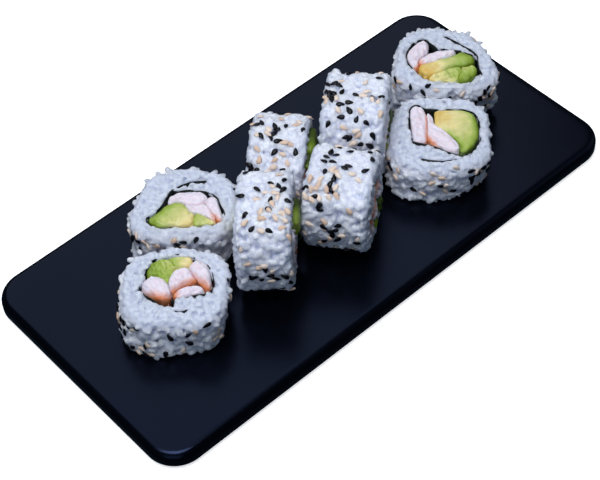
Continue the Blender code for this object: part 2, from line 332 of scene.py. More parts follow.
def lump(ends: tuple[float, float], taper: tuple[float, float],
         size: tuple[float, float, float]) -> Shell:
    """A small spindle, such as a grain or a seed, with its long axis along w.

    Half the width at a share s of the length is sqrt(1 - s^2) * (1 + a s + b s^2).

    Args:
        ends: arc sines of the shares where it starts and stops.
        taper: the two numbers a and b.
        size: width, depth and length.

    Returns:
        The lump, about its middle.
    """
    width, depth, length = size
    s = np.sin(np.linspace(*ends, LUMP_RINGS))[:, None]
    turn = np.arange(LUMP_SIDES)[None] * TURN / LUMP_SIDES
    girth = np.sqrt(1.0 - s ** 2) * (1.0 + taper[0] * s + taper[1] * s ** 2) / 2
    return ringed_shell(np.stack([girth * np.cos(turn) * width, girth * np.sin(turn) * depth,
                                  s * length / 2 + 0 * turn], axis=2))


def add_piece(name: str, mesh: Mesh, material: Material,
              replaced: tuple[str, ...] = ()) -> Piece:
    """Link a mesh as a piece of the object, at the origin, riding on its body.

    Args:
        name: the piece's name.
        mesh: its mesh in the row frame, in metres.
        material: its finish.
        replaced: CAD nodes that it stands for.

    Returns:
        The linked object.
    """
    mesh.materials.append(material)
    piece = bpy.data.objects.new(name, mesh)
    bpy.context.scene.collection.objects.link(piece)
    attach(piece, BODY)
    if replaced:
        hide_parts(*replaced)
    mesh.calc_loop_triangles()
    LOG.info("%s: %d triangles", name, len(mesh.loop_triangles))
    return piece


def set_values(mesh: Mesh, name: str, values: Array) -> None:
    """Store one number per vertex as a named attribute."""
    layer = mesh.attributes.new(name, "FLOAT", "POINT")
    layer.data.foreach_set("value", values.astype(np.float32))


def mesh_points(mesh: Mesh) -> Array:
    """Vertices of a mesh.

    Args:
        mesh: the mesh, in metres.

    Returns:
        Its vertices, in millimetres.
    """
    flat = np.empty(len(mesh.vertices) * 3, np.float32)
    mesh.vertices.foreach_get("co", flat)
    return flat.reshape(-1, 3).astype(float) / MM


def node_points(node: str) -> Array:
    """Vertices of a CAD node in the row frame, in millimetres."""
    return mesh_points(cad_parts[node].data)


def node_triangles(node: str) -> Array:
    """Triangles of a CAD node.

    Args:
        node: the CAD node.

    Returns:
        Three vertex numbers per triangle.
    """
    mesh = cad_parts[node].data
    mesh.calc_loop_triangles()
    flat = np.empty(len(mesh.loop_triangles) * 3, np.int32)
    mesh.loop_triangles.foreach_get("vertices", flat)
    return flat.reshape(-1, 3)


# ---------------------------------------------------------------------------- materials


@dataclass
class NodeBoard:
    """A material's node tree, with short ways to add and join nodes."""

    name: str
    material: Material = field(init=False)
    shader: bpy.types.Node = field(init=False)

    def __post_init__(self) -> None:
        """Make the material and keep its shader."""
        self.material = bpy.data.materials.new(self.name)
        self.material.use_nodes = True
        self.shader = self.material.node_tree.nodes["Principled BSDF"]

    def node(self, kind: str, inputs: dict | None = None, **settings: object) -> bpy.types.Node:
        """Add a node.

        Args:
            kind: its type name without the ShaderNode prefix.
            inputs: socket names or numbers, each with a value or an output socket to join.
            settings: the node's own properties.

        Returns:
            The node.
        """
        made = self.material.node_tree.nodes.new(f"ShaderNode{kind}")
        for key, value in settings.items():
            setattr(made, key, value)
        for key, value in (inputs or {}).items():
            self.feed(made.inputs[key], value)
        return made

    def feed(self, socket: Socket, value: object) -> None:
        """Join an output socket to an input, or set the input's value.

        Args:
            socket: the input.
            value: an output socket, a number or a colour of three numbers or four.
        """
        if isinstance(value, Socket):
            self.material.node_tree.links.new(value, socket)
        elif socket.type == "RGBA":
            socket.default_value = (*value[:3], 1.0)
        else:
            socket.default_value = value

    def place(self) -> Socket:
        """Object coordinates, in metres."""
        return self.node("TexCoord").outputs["Object"]

    def value(self, name: str) -> Socket:
        """A number stored on the mesh."""
        return self.node("Attribute", attribute_name=name).outputs["Fac"]

    def noise(self, size_mm: float, detail: float = 2.0, rough: float = 0.5) -> Socket:
        """Soft noise from 0 to 1 whose blobs are about size_mm across."""
        return self.node("TexNoise", {"Vector": self.place(), "Scale": 1.0 / (size_mm * MM),
                                      "Detail": detail, "Roughness": rough}).outputs["Fac"]

    def math(self, operation: str, first: object, second: object = 0.0,
             third: object = 0.0) -> Socket:
        """One arithmetic step on numbers or sockets."""
        return self.node("Math", {0: first, 1: second, 2: third}, operation=operation).outputs[0]

    def patchy(self, name: str, size_mm: float, detail: float, depth: float) -> Socket:
        """A stored value, varied by soft patches.

        Args:
            name: the value's name on the mesh.
            size_mm: how large the patches are.
            detail: how finely they are broken up.
            depth: how much the value changes from patch to patch.

        Returns:
            The varied value.
        """
        patch = self.math("SUBTRACT", self.noise(size_mm, detail), 0.5)
        return self.math("MULTIPLY_ADD", patch, depth, self.value(name))

    def ramp(self, factor: Socket, *stops: tuple[float, Colour]) -> Socket:
        """Colour along a factor.

        Args:
            factor: the number that picks the colour.
            stops: pairs of a position from 0 to 1 and a linear colour, in order.

        Returns:
            The colour socket.
        """
        made = self.node("ValToRGB", {"Fac": factor})
        elements = made.color_ramp.elements
        for position, _ in stops[2:]:
            elements.new(position)
        for element, (position, colour) in zip(elements, stops):
            element.position = position
            element.color = (*colour, 1.0)
        return made.outputs["Color"]

    def blend(self, factor: Socket, first: Socket, second: Colour) -> Socket:
        """Mix a colour into another by a factor."""
        made = self.node("Mix", {0: factor, 6: first, 7: second}, data_type="RGBA")
        return made.outputs[2]

    def bump(self, height: Socket, depth_mm: float, under: Socket | None = None) -> Socket:
        """Bumped normal.

        Args:
            height: the relief, from 0 to 1.
            depth_mm: what a height of 1 stands for.
            under: a normal that it lies over.

        Returns:
            The normal.
        """
        made = self.node("Bump", {"Height": height, "Distance": depth_mm * MM, "Strength": 1.0})
        if under is not None:
            self.feed(made.inputs["Normal"], under)
        return made.outputs["Normal"]

    def relief(self, upper: Socket, upper_mm: float, lower: Socket, lower_mm: float) -> Socket:
        """Bumped normal of one height over another, each with its depth."""
        return self.bump(upper, upper_mm, self.bump(lower, lower_mm))

    def finish(self, **inputs: object) -> Material:
        """Set the shader's sockets.

        Args:
            inputs: a value or an output socket for each, named with underscores for spaces.

        Returns:
            The material.
        """
        for key, value in inputs.items():
            self.feed(self.shader.inputs[key.replace("_", " ")], value)
        return self.material


@dataclass(frozen=True)
class GlazeFinish:
    """Satin blue-black stoneware glaze."""

    colour: Colour = (0.0006, 0.0008, 0.0012)
    worn: Colour = (0.001, 0.0013, 0.002)
    sheen: Colour = (0.34, 0.47, 1.0)
    roughness: float = 0.20
    clouding: float = 0.10
    gloss: float = 0.25

    def material(self) -> Material:
        """Dark glaze with a faint clouding, under a fine eggshell skin on soft waves.

        Returns:
            The material.
        """
        board = NodeBoard("plate_glaze")
        cloud = board.noise(38.0, 3.0)
        tint = board.ramp(cloud, (0.35, self.colour), (0.7, self.worn))
        normal = board.relief(board.noise(14.0), 0.05, board.noise(0.9), 0.006)
        rough = board.math("MULTIPLY_ADD", cloud, self.clouding, self.roughness)
        return board.finish(Base_Color=tint, Roughness=rough, Normal=normal,
                            Specular_IOR_Level=self.gloss, Specular_Tint=self.sheen)


@dataclass(frozen=True)
class RiceFinish:
    """Moist cooked rice: translucent, a little blue in the shade, with painted shade between its
    grain-sized cells.

    cells is how many grain-sized cells go into a metre, bends and bend how often and how far
    their borders wander, and shade_seam the fall and the start of the painted shade along those
    borders, whose colour is between.
    """

    clear: Colour = (0.76, 0.785, 0.90)
    milky: Colour = (0.855, 0.865, 0.97)
    sliced: Colour = (0.585, 0.62, 0.715)
    between: Colour = (0.46, 0.50, 0.61)
    cells: float = 340.0
    bends: float = 420.0
    bend: float = 0.0012
    shade_seam: tuple[float, float] = (-3.2, 0.38)
    roughness: float = 0.36
    depth_mm: float = 3.4

    def material(self) -> Material:
        """Each grain-sized cell is a little clearer or milkier, with painted shade along its border,
        under a moist skin.

        Returns:
            The material.
        """
        board = NodeBoard("rice")
        where = board.place()
        warp = board.node("TexNoise", {"Vector": where, "Scale": self.bends, "Detail": 1.0})
        bent = board.node("VectorMath", {0: warp.outputs["Color"], 1: (self.bend,) * 3},
                          operation="MULTIPLY")
        bent = board.node("VectorMath", {0: where, 1: bent.outputs[0]}, operation="ADD")
        cells = {"Vector": bent.outputs[0], "Scale": self.cells}
        cell = board.node("TexVoronoi", cells)
        edge = board.node("TexVoronoi", cells, feature="DISTANCE_TO_EDGE")
        # Mask of painted shade along the cells' borders: highest at a border, fading inwards.
        gap = board.math("MULTIPLY_ADD", edge.outputs["Distance"], *self.shade_seam)
        tone = board.node("SeparateColor", {0: cell.outputs["Color"]}).outputs[0]
        mixed = board.math("MULTIPLY_ADD", tone, 0.4, board.math("MULTIPLY", board.noise(9.0), 0.6))
        tint = board.ramp(mixed, (0.15, self.clear), (0.75, self.milky))
        tint = board.blend(board.math("MULTIPLY", board.value("cut"), 0.8), tint, self.sliced)
        # Painted shade: the cells' borders are darkened towards the colour between, as if shade fell
        # in creases between grains.
        tint = board.blend(gap, tint, self.between)
        normal = board.relief(board.noise(0.6, 3.0, 0.6), 0.09, board.noise(1.7), 0.22)
        return board.finish(Base_Color=tint, Roughness=self.roughness, IOR=1.40, Normal=normal,
                            Subsurface_Weight=1.0, Subsurface_Radius=(0.98, 1.0, 1.06),
                            Subsurface_Scale=self.depth_mm * MM)


@dataclass(frozen=True)
class NoriFinish:
    """Roasted seaweed: near-black green, papery, with a faint gloss where it is damp."""

    dark: Colour = (0.002, 0.003, 0.004)
    green: Colour = (0.007, 0.012, 0.009)
    roughness: float = 0.5
    gloss: float = 0.25

    def material(self) -> Material:
        """Mottled sheet with fine crinkles.

        Returns:
            The material.
        """
        board = NodeBoard("nori")
        tint = board.ramp(board.noise(1.6, 3.0), (0.3, self.dark), (0.75, self.green))
        return board.finish(Base_Color=tint, Roughness=self.roughness,
                            Normal=board.bump(board.noise(0.5), 0.08),
                            Specular_IOR_Level=self.gloss)


@dataclass(frozen=True)
class AvocadoFinish:
    """Ripe avocado flesh: butter yellow by the stone, green under the rind."""

    stone: Colour = (0.74, 0.48, 0.10)
    butter: Colour = (0.83, 0.725, 0.34)
    lime: Colour = (0.37, 0.485, 0.085)
    leaf: Colour = (0.155, 0.235, 0.006)
    rind: Colour = (0.044, 0.074, 0.002)
    roughness: float = 0.38
    depth_mm: float = 1.2

    def material(self) -> Material:
        """The stored rind value, from 0 to 1, picks the colour; soft patches break it up.

        Returns:
            The material.
        """
        board = NodeBoard("avocado")
        tint = board.ramp(board.patchy("rind", 3.2, 3.0, 0.30), (0.02, self.stone),
                          (0.25, self.butter), (0.55, self.lime), (0.8, self.leaf), (0.98, self.rind))
        normal = board.relief(board.noise(0.6, 3.0), 0.10, board.noise(2.4), 0.35)
        return board.finish(Base_Color=tint, Roughness=self.roughness, Normal=normal, IOR=1.42,
                            Subsurface_Weight=0.5, Subsurface_Radius=(1.0, 0.9, 0.35),
                            Subsurface_Scale=self.depth_mm * MM)


@dataclass(frozen=True)
class PrawnFinish:
    """Cooked prawn: white flesh with pink fibres and an orange-red skin, whose brown is partly painted
    shade.
    """

    flesh: Colour = (0.84, 0.745, 0.81)
    blush: Colour = (0.80, 0.50, 0.46)
    orange: Colour = (0.70, 0.24, 0.10)
    brown_and_shade: Colour = (0.32, 0.11, 0.05)
    roughness: float = 0.3
    depth_mm: float = 1.4

    def material(self) -> Material:
        """The stored skin value, from 0 to 1, picks the colour, over soft lumps and fibres; its last
        stop, brown, is partly painted shade.

        Returns:
            The material.
        """
        board = NodeBoard("prawn")
        fibre = board.node("TexWave", {"Vector": board.place(), "Scale": 160.0, "Distortion": 9.0,
                                       "Detail": 2.0, "Detail Scale": 1.4}).outputs["Fac"]
        # The brown stop at the skin end is partly the skin's own colour and partly painted shade.
        tint = board.ramp(board.patchy("skin", 2.6, 2.0, 0.24), (0.34, self.flesh),
                          (0.52, self.blush), (0.74, self.orange), (0.97, self.brown_and_shade))
        return board.finish(Base_Color=tint, Roughness=self.roughness, IOR=1.40,
                            Normal=board.relief(board.noise(1.4), 0.4, fibre, 0.10),
                            Subsurface_Weight=0.7, Subsurface_Radius=(1.0, 0.78, 0.72),
                            Subsurface_Scale=self.depth_mm * MM)


@dataclass(frozen=True)
class SeedFinish:
    """Hulled sesame, with a tone that differs from seed to seed."""

    name: str
    dark: Colour
    pale: Colour
    roughness: float
    gloss: float = 0.2

    def material(self) -> Material:
        """The stored tone picks the colour; a fine pitted coat covers it.

        Returns:
            The material.
        """
        board = NodeBoard(self.name)
        tint = board.ramp(board.patchy("tone", 0.7, 2.0, 0.5), (0.0, self.dark), (1.0, self.pale))
        return board.finish(Base_Color=tint, Roughness=self.roughness,
                            Normal=board.bump(board.noise(0.25, 1.0), 0.03),
                            Specular_IOR_Level=self.gloss)


@dataclass(frozen=True)
class FloorFinish:
    """Plain white studio sweep."""

    colour: Colour = (0.92, 0.93, 0.95)
    glow: float = 0.7

    def material(self) -> Material:
        """Matt white that is never quite in shadow.

        Returns:
            The material.
        """
        return NodeBoard("floor_white").finish(
            Base_Color=self.colour, Roughness=0.9, Specular_IOR_Level=0.0,
            Emission_Color=WHITE, Emission_Strength=self.glow)


# ---------------------------------------------------------------------------- a slice's own frame


@dataclass(frozen=True)
class SliceSpec:
    """One slice of roll.

    Attributes:
        number: its number in the CAD.
        pose: how it lies.
        yaw: its turn on the plate, in degrees.
        design: its filling.
        black_seeds: black seeds strewn over its outside.
        tan_seeds: tan seeds strewn over its outside.
        cover: how far the cut rice leans over the hollow's edge.
        half_turned: whether its filling is turned by half a turn.
        sag: how much rounder the upper rim is towards -v, as a share of the rim.
        tuck: how far the slice is drawn in where it is undercut most, before the shares of that
            for its foot and its upper rim.
        near: how much further the upper rim reaches out towards -v.
        shy: how far the rice ends short of the last cut face, round a filling that stands proud.
        crumbs: loose grains at its foot.
        clusters: tight groups of seeds, each with its angle in degrees, its share of the
            thickness, and its black and its tan seeds.
    """

    number: int
    pose: Pose
    yaw: float
    design: Design
    black_seeds: int
    tan_seeds: int
    cover: float = 1.0
    half_turned: bool = False
    sag: float = 0.0
    tuck: float = 0.0
    near: float = 0.0
    shy: float = 0.0
    crumbs: int = 0
    clusters: tuple[tuple[float, float, int, int], ...] = ()


SLICES = (
    SliceSpec(1, Pose.STANDING, -45.0, Design.FIVE_CHUNKS, 12, 18, 1.4, sag=0.9, tuck=3.0, crumbs=30,
              clusters=((212.0, 0.55, 13, 12), (232.0, 0.25, 5, 7))),
    SliceSpec(2, Pose.STANDING, -45.0, Design.WIDE_AVOCADO, 14, 16, 0.5, near=2.0, sag=1.4, tuck=2.4,
              clusters=((222.0, 0.75, 6, 9), (262.0, 0.7, 5, 6))),
    SliceSpec(3, Pose.LYING, -44.0, Design.GREEN_RIM, 50, 58, shy=1.5,
              clusters=((100.0, 0.7, 2, 7), (175.0, 0.45, 6, 3))),
    SliceSpec(4, Pose.LYING, -48.0, Design.WIDE_AVOCADO, 34, 40, half_turned=True, shy=1.7,
              clusters=((85.0, 0.25, 4, 6), (125.0, 0.45, 3, 9), (150.0, 0.2, 7, 2))),
    SliceSpec(5, Pose.LYING, -54.0, Design.FIVE_CHUNKS, 38, 40, half_turned=True,
              clusters=((125.0, 0.28, 3, 16), (175.0, 0.45, 9, 7), (95.0, 0.4, 5, 5))),
    SliceSpec(6, Pose.LYING, -50.0, Design.STACKED_BARS, 36, 38,
              clusters=((95.0, 0.16, 15, 8), (165.0, 0.6, 9, 4), (135.0, 0.6, 1, 7))),
    SliceSpec(7, Pose.STANDING, -45.0, Design.GREEN_RIM, 14, 18, 0.4, sag=1.2, tuck=4.4, crumbs=34,
              clusters=((205.0, 0.6, 4, 8), (315.0, 0.75, 8, 6), (262.0, 0.55, 1, 5))),
    SliceSpec(8, Pose.STANDING, -45.0, Design.STACKED_BARS, 18, 20, 0.35, near=1.2, sag=1.8, tuck=2.4,
              clusters=((252.0, 0.8, 7, 3), (318.0, 0.7, 8, 9), (195.0, 0.6, 4, 8))),
)


@dataclass(frozen=True)
class SliceFrame:
    """Axes of one slice, and the outlines that its CAD nodes give in them."""

    spec: SliceSpec
    axes: Array
    origin: Array
    thickness: float

    @classmethod
    def of(cls, spec: SliceSpec) -> "SliceFrame":
        """Frame whose origin is the middle of the rice node's first cut face.

        Args:
            spec: the slice.

        Returns:
            Its frame.
        """
        yaw = math.radians(spec.yaw)
        along = (math.cos(yaw), math.sin(yaw), 0.0)
        across = (-math.sin(yaw), math.cos(yaw), 0.0)
        axes = np.array((along, across, UP) if spec.pose is Pose.STANDING else (across, UP, along))
        turned = node_points(f"rice_{spec.number}") @ axes.T
        low, high = turned.min(axis=0), turned.max(axis=0)
        middle = np.array([(low[0] + high[0]) / 2, (low[1] + high[1]) / 2, low[2]])
        return cls(spec, axes, middle @ axes, float(high[2] - low[2]))

    @property
    def number(self) -> int:
        """The slice's number in the CAD."""
        return self.spec.number

    @property
    def lying(self) -> bool:
        """Whether the slice lies on its rice."""
        return self.spec.pose is Pose.LYING

    def local(self, points: Array) -> Array:
        """Points of the row frame, in this frame."""
        return (points - self.origin) @ self.axes.T

    def row(self, points: Array) -> Array:
        """Points of this frame, in the row frame and in metres."""
        return (points @ self.axes + self.origin) * MM

    def solid(self, node: str) -> tuple[Array, Array]:
        """A CAD node in this frame, its loose triangles joined at their corners.

        Args:
            node: the CAD node.

        Returns:
            Its vertices, each once, and its triangles' corner numbers among them.
        """
        points = self.local(node_points(node))
        spots, which = np.unique(points.round(3), axis=0, return_inverse=True)
        return spots, which.ravel()[node_triangles(node)]

    def loops(self, node: str, end: int = 1) -> list[Array]:
        """Outlines of a CAD node's cut face, the one with the largest area first.

        The cut face's triangles leave a boundary of directed sides. Each loop is followed from
        its lowest point number, in steps that double: a path and the jump as long as it give the
        path twice as long.

        Args:
            node: the CAD node.
            end: 1 for the last cut face and 0 for the first.

        Returns:
            Loops of flat points. Seen from +w on the last face the outer one runs anticlockwise.
        """
        spots, faces = self.solid(node)
        level = spots[:, 2].max() if end else spots[:, 2].min()
        cap = faces[(np.abs(spots[faces][:, :, 2] - level) < 0.02).all(axis=1)]
        tail, head = cap.ravel(), np.roll(cap, -1, axis=1).ravel()
        lone = ~np.isin(tail * len(spots) + head, head * len(spots) + tail)
        used, tail = np.unique(tail[lone], return_inverse=True)
        ahead = np.empty(len(used), int)
        ahead[tail.ravel()] = np.searchsorted(used, head[lone])
        free, found = np.ones(len(used), bool), []
        while free.any():
            path, jump = np.array([free.argmax()]), ahead
            while len(path) <= len(used):
                path, jump = np.concatenate([path, jump[path]]), jump[jump]
            path = path[:np.flatnonzero(path[1:] == path[0])[0] + 1]
            free[path] = False
            found.append(spots[used[path]][:, :2])
        return sorted(found, key=lambda loop: -np.ptp(loop, axis=0).prod())


# ---------------------------------------------------------------------------- rice


@dataclass(frozen=True)
class GrainLayer:
    """One layer of grains.

    Attributes:
        pitch: usual distance between neighbours.
        depth: how deep their middles lie under the envelope.
        spread: how much that depth varies.
        lean: spread of the angle, in radians, by which they lean out of the surface.
    """

    pitch: float
    depth: float
    spread: float
    lean: float


@dataclass
class RiceRing:
    """The rice of one slice: grains pressed against each other round the nori.

    Two layers of grains lie over the core, a close one and a looser one outside it. Their
    envelope is the CAD ring with its rims rounded and its foot drawn in. They are fused into one
    skin, with a groove where the nori's flap runs out to a cut face.

    Attributes:
        slice: the slice's frame.
        material: the rice's finish.
        grain: width, depth and length of a grain.
        grain_ends: arc sines of the shares of its length where a grain starts and stops.
        grain_taper: how much blunter one end of a grain is.
        grain_scale: smallest and largest scale of a grain along each axis.
        layers: the layers of grains, from the core outwards.
        jitter: how far a grain strays from its place, as a share of the pitch.
        row_gap: distance between rows of grains, as a share of the pitch.
        girth: length of the outline, as a share of a circle's round it.
        face_lift: how much higher grains lie on the cut faces, and face_lean how much more they
            lean there.
        face_gap: least distance of their middles from the outline, and overhang how far they
            may lie past the hollow's edge.
        wall_gap: least distance of a wall grain's middle from a cut face, and wall_depth from
            the outside.
        crumb_turn: angle at which loose grains lie at the foot, and crumb_spread how far they lie
            past it both ways.
        crumb_levels: lowest and highest place of a loose grain's middle.
        crumb_inset: how far inside the foot's outline they lie, and crumb_scatter what is added.
        core_inset: how far the core lies under the outside, core_edge how close to the ring's
            outline a point counts as outside, and core_rim the rim inset that it ignores.
        core_recess: how far it lies under the cut faces.
        rim: rounding of a standing slice's upper rim.
        foot_rim: least rounding of its foot, and foot_lean what is added where it is undercut.
        lean_turn: angle at which it is undercut most.
        tuck_shares: shares of the slice's tuck by which its foot and its upper rim are drawn in.
        flare: how far its foot spreads on the other side.
        lying_rim: rounding of a lying slice's rims.
        lying_tuck: how far its foot is drawn in at both sides.
        clumps: height of the soft clumps, and clump_size their wavelength.
        lying_calm: share of that height that a lying slice has, and standing_calm a standing one.
        lying_loose: how loosely a lying slice's rims hold together.
        standing_loose: how loosely a standing slice's rims do, and its growth towards +v.
        ragged: height of the ragged rims, ragged_size their wavelength and rim_reach how far
            they go in from the cut face.
        uneven: height of the knife's waves in the cut face, and uneven_size their wavelength.
        press: share of the height past a cut face that the knife takes off.
        mat_press: share of what stands past the rolling mat that the mat takes off.
        lying_proud: how far grains may stand past the envelope on a lying slice.
        standing_proud: how far on a standing slice.
        loose: how much further at a rim, and loose_reach how far from the cut face.
        headroom: how far they may stand past a lying slice's top.
        lift: how far they may go under the foot.
        slot_gap: half the width that stays free for the nori's flap, and slot_reach how near a
            place on the hollow's edge is to the slot.
        cover_waves: how much the cover varies round the hollow, cover_size their wavelength and
            least_cover the least cover.
        spill: share that is kept of what lies past the cover.
        snug: how far the core goes past the hollow's edge, up to the nori.
        groove: how deep the flap's groove is at a cut face.
        voxel: cell of the skin.
        kept_share: share of the skin's triangles that is kept.
        cut_depth: depth over which the stored cut value falls by one, and cut_fade that value
            before it is limited to 1.
        groove_depth: how far from a cut face the groove reaches.
    """

    slice: SliceFrame
    material: Material
    grain: tuple[float, float, float] = (2.6, 2.288, 4.5)
    grain_ends: tuple[float, float] = (-1.25, 1.25)
    grain_taper: float = 0.16
    grain_scale: tuple[float, float] = (0.82, 1.12)
    layers: tuple[GrainLayer, ...] = (GrainLayer(2.5, 1.9, 0.3, 0.3),
                                      GrainLayer(2.55, 0.85, 0.34, 0.34))
    jitter: float = 0.26
    row_gap: float = 0.87
    girth: float = 1.08
    face_lift: float = 0.1
    face_lean: float = 0.5
    face_gap: float = 1.0
    overhang: float = 0.7
    wall_gap: float = 0.8
    wall_depth: float = 0.2
    crumb_turn: float = math.radians(270.0)
    crumb_spread: tuple[float, float] = (-1.45, 1.25)
    crumb_levels: tuple[float, float] = (0.8, 3.0)
    crumb_inset: float = 1.1
    crumb_scatter: tuple[float, float] = (-0.6, 0.9)
    core_inset: float = 2.4
    core_edge: float = 0.6
    core_rim: float = 0.8
    core_recess: float = 1.3
    rim: float = 2.4
    foot_rim: float = 1.7
    foot_lean: float = 2.6
    lean_turn: float = math.radians(15.0)
    tuck_shares: tuple[float, float] = (1.3, 0.3)
    flare: float = 1.6
    lying_rim: float = 2.0
    lying_tuck: float = 2.2
    clumps: float = 0.55
    clump_size: float = 7.0
    lying_calm: float = 0.6
    standing_calm: float = 0.75
    lying_loose: float = 0.8
    standing_loose: tuple[float, float] = (0.68, 0.44)
    ragged: float = 1.2
    ragged_size: float = 3.2
    rim_reach: float = 2.5
    uneven: float = 0.14
    uneven_size: float = 5.0
    press: float = 0.55
    mat_press: float = 0.7
    lying_proud: float = 0.35
    standing_proud: float = 0.77
    loose: float = 2.4
    loose_reach: float = 2.0
    headroom: float = 0.45
    lift: float = 0.25
    slot_gap: float = 0.6
    slot_reach: float = 0.6
    cover_waves: float = 0.3
    cover_size: float = 7.0
    least_cover: float = 0.1
    spill: float = 0.1
    snug: float = 0.3
    groove: float = 1.5
    voxel: float = 0.36
    kept_share: float = 0.7
    cut_depth: float = 2.0
    cut_fade: float = 1.2
    groove_depth: float = 2.2

    def __post_init__(self) -> None:
        """Read the slice's outlines and set out its slot."""
        self.number = self.slice.number
        self.node = f"rice_{self.number}"
        self.top = self.slice.thickness - self.slice.spec.shy
        self.hole = self.slice.loops(self.node)[1]
        self.outlines = [self.outline(end) for end in (0, 1)]
        self.slot, self.flap = self.slot_places()
        self.rng = np.random.default_rng(Seed.GRAINS + self.number)
        self.one_grain = lump(self.grain_ends, (self.grain_taper, 0.0), self.grain)

    def build(self) -> Piece:
        """Fuse the core and its grains into one rice mass.

        Returns:
            The piece that stands for the CAD node rice_N.
        """
        mass = self.core()
        for layer in self.layers:
            mass = mass.joined(self.grains(layer))
        mass = mass.joined(self.foot_crumbs())
        mesh = self.fused(mass.moved(self.slice.row(mass.points)))
        return add_piece(f"rice_mass_{self.number}", mesh, self.material, (self.node,))

    def grains(self, layer: GrainLayer) -> Shell:
        """One layer of grains, on the wall and then on both cut faces.

        Args:
            layer: the wall's layer; on the cut faces it lies a little higher and leans more.

        Returns:
            The pressed grains.
        """
        made = self.one_grain.repeated(*self.wall_grains(layer))
        cut = replace(layer, depth=layer.depth - self.face_lift, lean=layer.lean + self.face_lean)
        for end in (0, 1):
            made = made.joined(self.one_grain.repeated(*self.face_grains(end, cut)))
        return made.moved(self.pressed(made.points))

    def foot_crumbs(self) -> Shell:
        """Grains that came loose and lie on the plate against the near side of the foot.

        Returns:
            The grains.
        """
        count = self.slice.spec.crumbs
        angle = self.crumb_turn + self.rng.uniform(*self.crumb_spread, count)
        w = self.rng.uniform(*self.crumb_levels, count)
        reach = self.radius(angle, np.zeros(count)) - self.crumb_inset
        reach = reach + self.rng.uniform(*self.crumb_scatter, count)
        axes = self.turned(round_axis(angle, 1.0, 0 * angle), lean=0.6)
        crumbs = self.one_grain.repeated(axes, round_axis(angle, reach, w))
        crumbs.points[:, 2] = np.maximum(crumbs.points[:, 2], -self.lift)
        return crumbs

    def undercut(self, angle: Array) -> Array:
        """How much a standing slice's foot is undercut at an angle, from 0 to 1."""
        return 0.5 + 0.5 * np.cos(angle - self.lean_turn)

    def outline(self, end: int) -> Array:
        """The CAD ring's outline at a cut face, drawn in where the slice tucks under.

        A lying slice tucks under at both sides of its foot, by the sine of twice the angle. A
        standing one does so all round it and mostly where it is undercut. Its foot flares at the
        other side, and its upper rim reaches further out towards -v.

        Args:
            end: 1 for the last cut face and 0 for the first.

        Returns:
            The flat loop.
        """
        loop = self.slice.loops(self.node, end)[0]
        u, v = unit(loop).T
        lean = self.undercut(np.arctan2(v, u))
        tuck = self.tuck_shares[end] * self.slice.spec.tuck * lean
        if self.slice.lying:
            tuck = self.lying_tuck * np.clip(-2.0 * v * np.abs(u), 0.0, 1.0)
        elif end:
            tuck = tuck - self.slice.spec.near * np.clip(-v, 0.0, 1.0)
        else:
            tuck = tuck - self.flare * (1.0 - lean) ** 2
        return loop - unit(loop) * tuck[:, None]

    def slot_places(self, samples: int = 240, width: float = 1.5,
                    least: float = 4.0) -> tuple[Array, Array]:
        """Find the hollow's narrow slot, where the nori's flap runs.

        Two places on the hollow's edge that are far apart along it but face each other closely
        across the hollow lie at the slot.

        Args:
            samples: how many places on the edge are compared.
            width: how far apart the slot's two sides are at most.
            least: how far apart two such places are along the edge at least.

        Returns:
            The edge's places beside the slot, and places along its middle.
        """
        edge = along_line(np.concatenate([self.hole, self.hole[:1]]),
                          np.linspace(0.0, 1.0, samples, endpoint=False))
        apart = np.linalg.norm(edge[:, None] - edge[None], axis=2)
        order = np.abs(np.arange(samples)[:, None] - np.arange(samples)[None])
        far = np.minimum(order, samples - order) * np.linalg.norm(edge[1] - edge[0]) > least
        first, second = np.nonzero(far & (apart < width))
        between = (edge[first] + edge[second]) / 2
        hollow = inside(between, self.hole)
        return edge[np.unique(first[hollow])], between[hollow]

    def radius(self, angle: Array, share: Array) -> Array:
        """Outer radius at an angle.

        Args:
            angle: angles round the slice.
            share: shares of the way from the first cut face to the last.

        Returns:
            One radius per angle.
        """
        low, high = (self.loop_radius(loop, angle) for loop in self.outlines)
        return low * (1.0 - share) + high * share

    def loop_radius(self, loop: Array, angle: Array) -> Array:
        """Radius of a loop round the origin at an angle, between its corners.

        Args:
            loop: the flat loop.
            angle: angles round the slice.

        Returns:
            One radius per angle.
        """
        corner = np.arctan2(loop[:, 1], loop[:, 0])
        order = np.argsort(corner)
        reach = np.linalg.norm(loop, axis=1)[order]
        return np.interp(angle, corner[order], reach, period=TURN)

    def rim_radius(self, end: int, angle: Array) -> Array:
        """Radius of a rim's rounding at an angle.

        A standing slice's upper rim has 0.7 of its rounding at +v, and all of it at -v, where it
        also sags.

        Args:
            end: 1 for the last cut face and 0 for the first.
            angle: angles round the slice.

        Returns:
            One radius per angle.
        """
        if self.slice.lying:
            return np.full(np.shape(angle), self.lying_rim)
        if not end:
            return self.foot_rim + self.foot_lean * self.undercut(angle)
        near = np.clip(0.35 - 0.65 * np.sin(angle), 0.0, 1.0)
        return self.rim * (0.7 + 0.3 * near + self.slice.spec.sag * near)

    def fall(self, end: int, flat: Array) -> Array:
        """How far the rounded rim lowers a cut face.

        Args:
            end: 1 for the last cut face and 0 for the first.
            flat: places in the cut face.

        Returns:
            One height per place.
        """
        loop = self.outlines[end]
        deep = np.where(inside(flat, loop), edge_distance(flat, loop), 0.0)
        return quarter_round(deep, self.rim_radius(end, np.arctan2(flat[:, 1], flat[:, 0])))

    def rim_inset(self, w: Array, angle: Array) -> Array:
        """How far the rounded rims draw the outside in at each height."""
        low, high = (self.rim_radius(end, angle) for end in (0, 1))
        return quarter_round(w, low) + quarter_round(self.top - w, high)

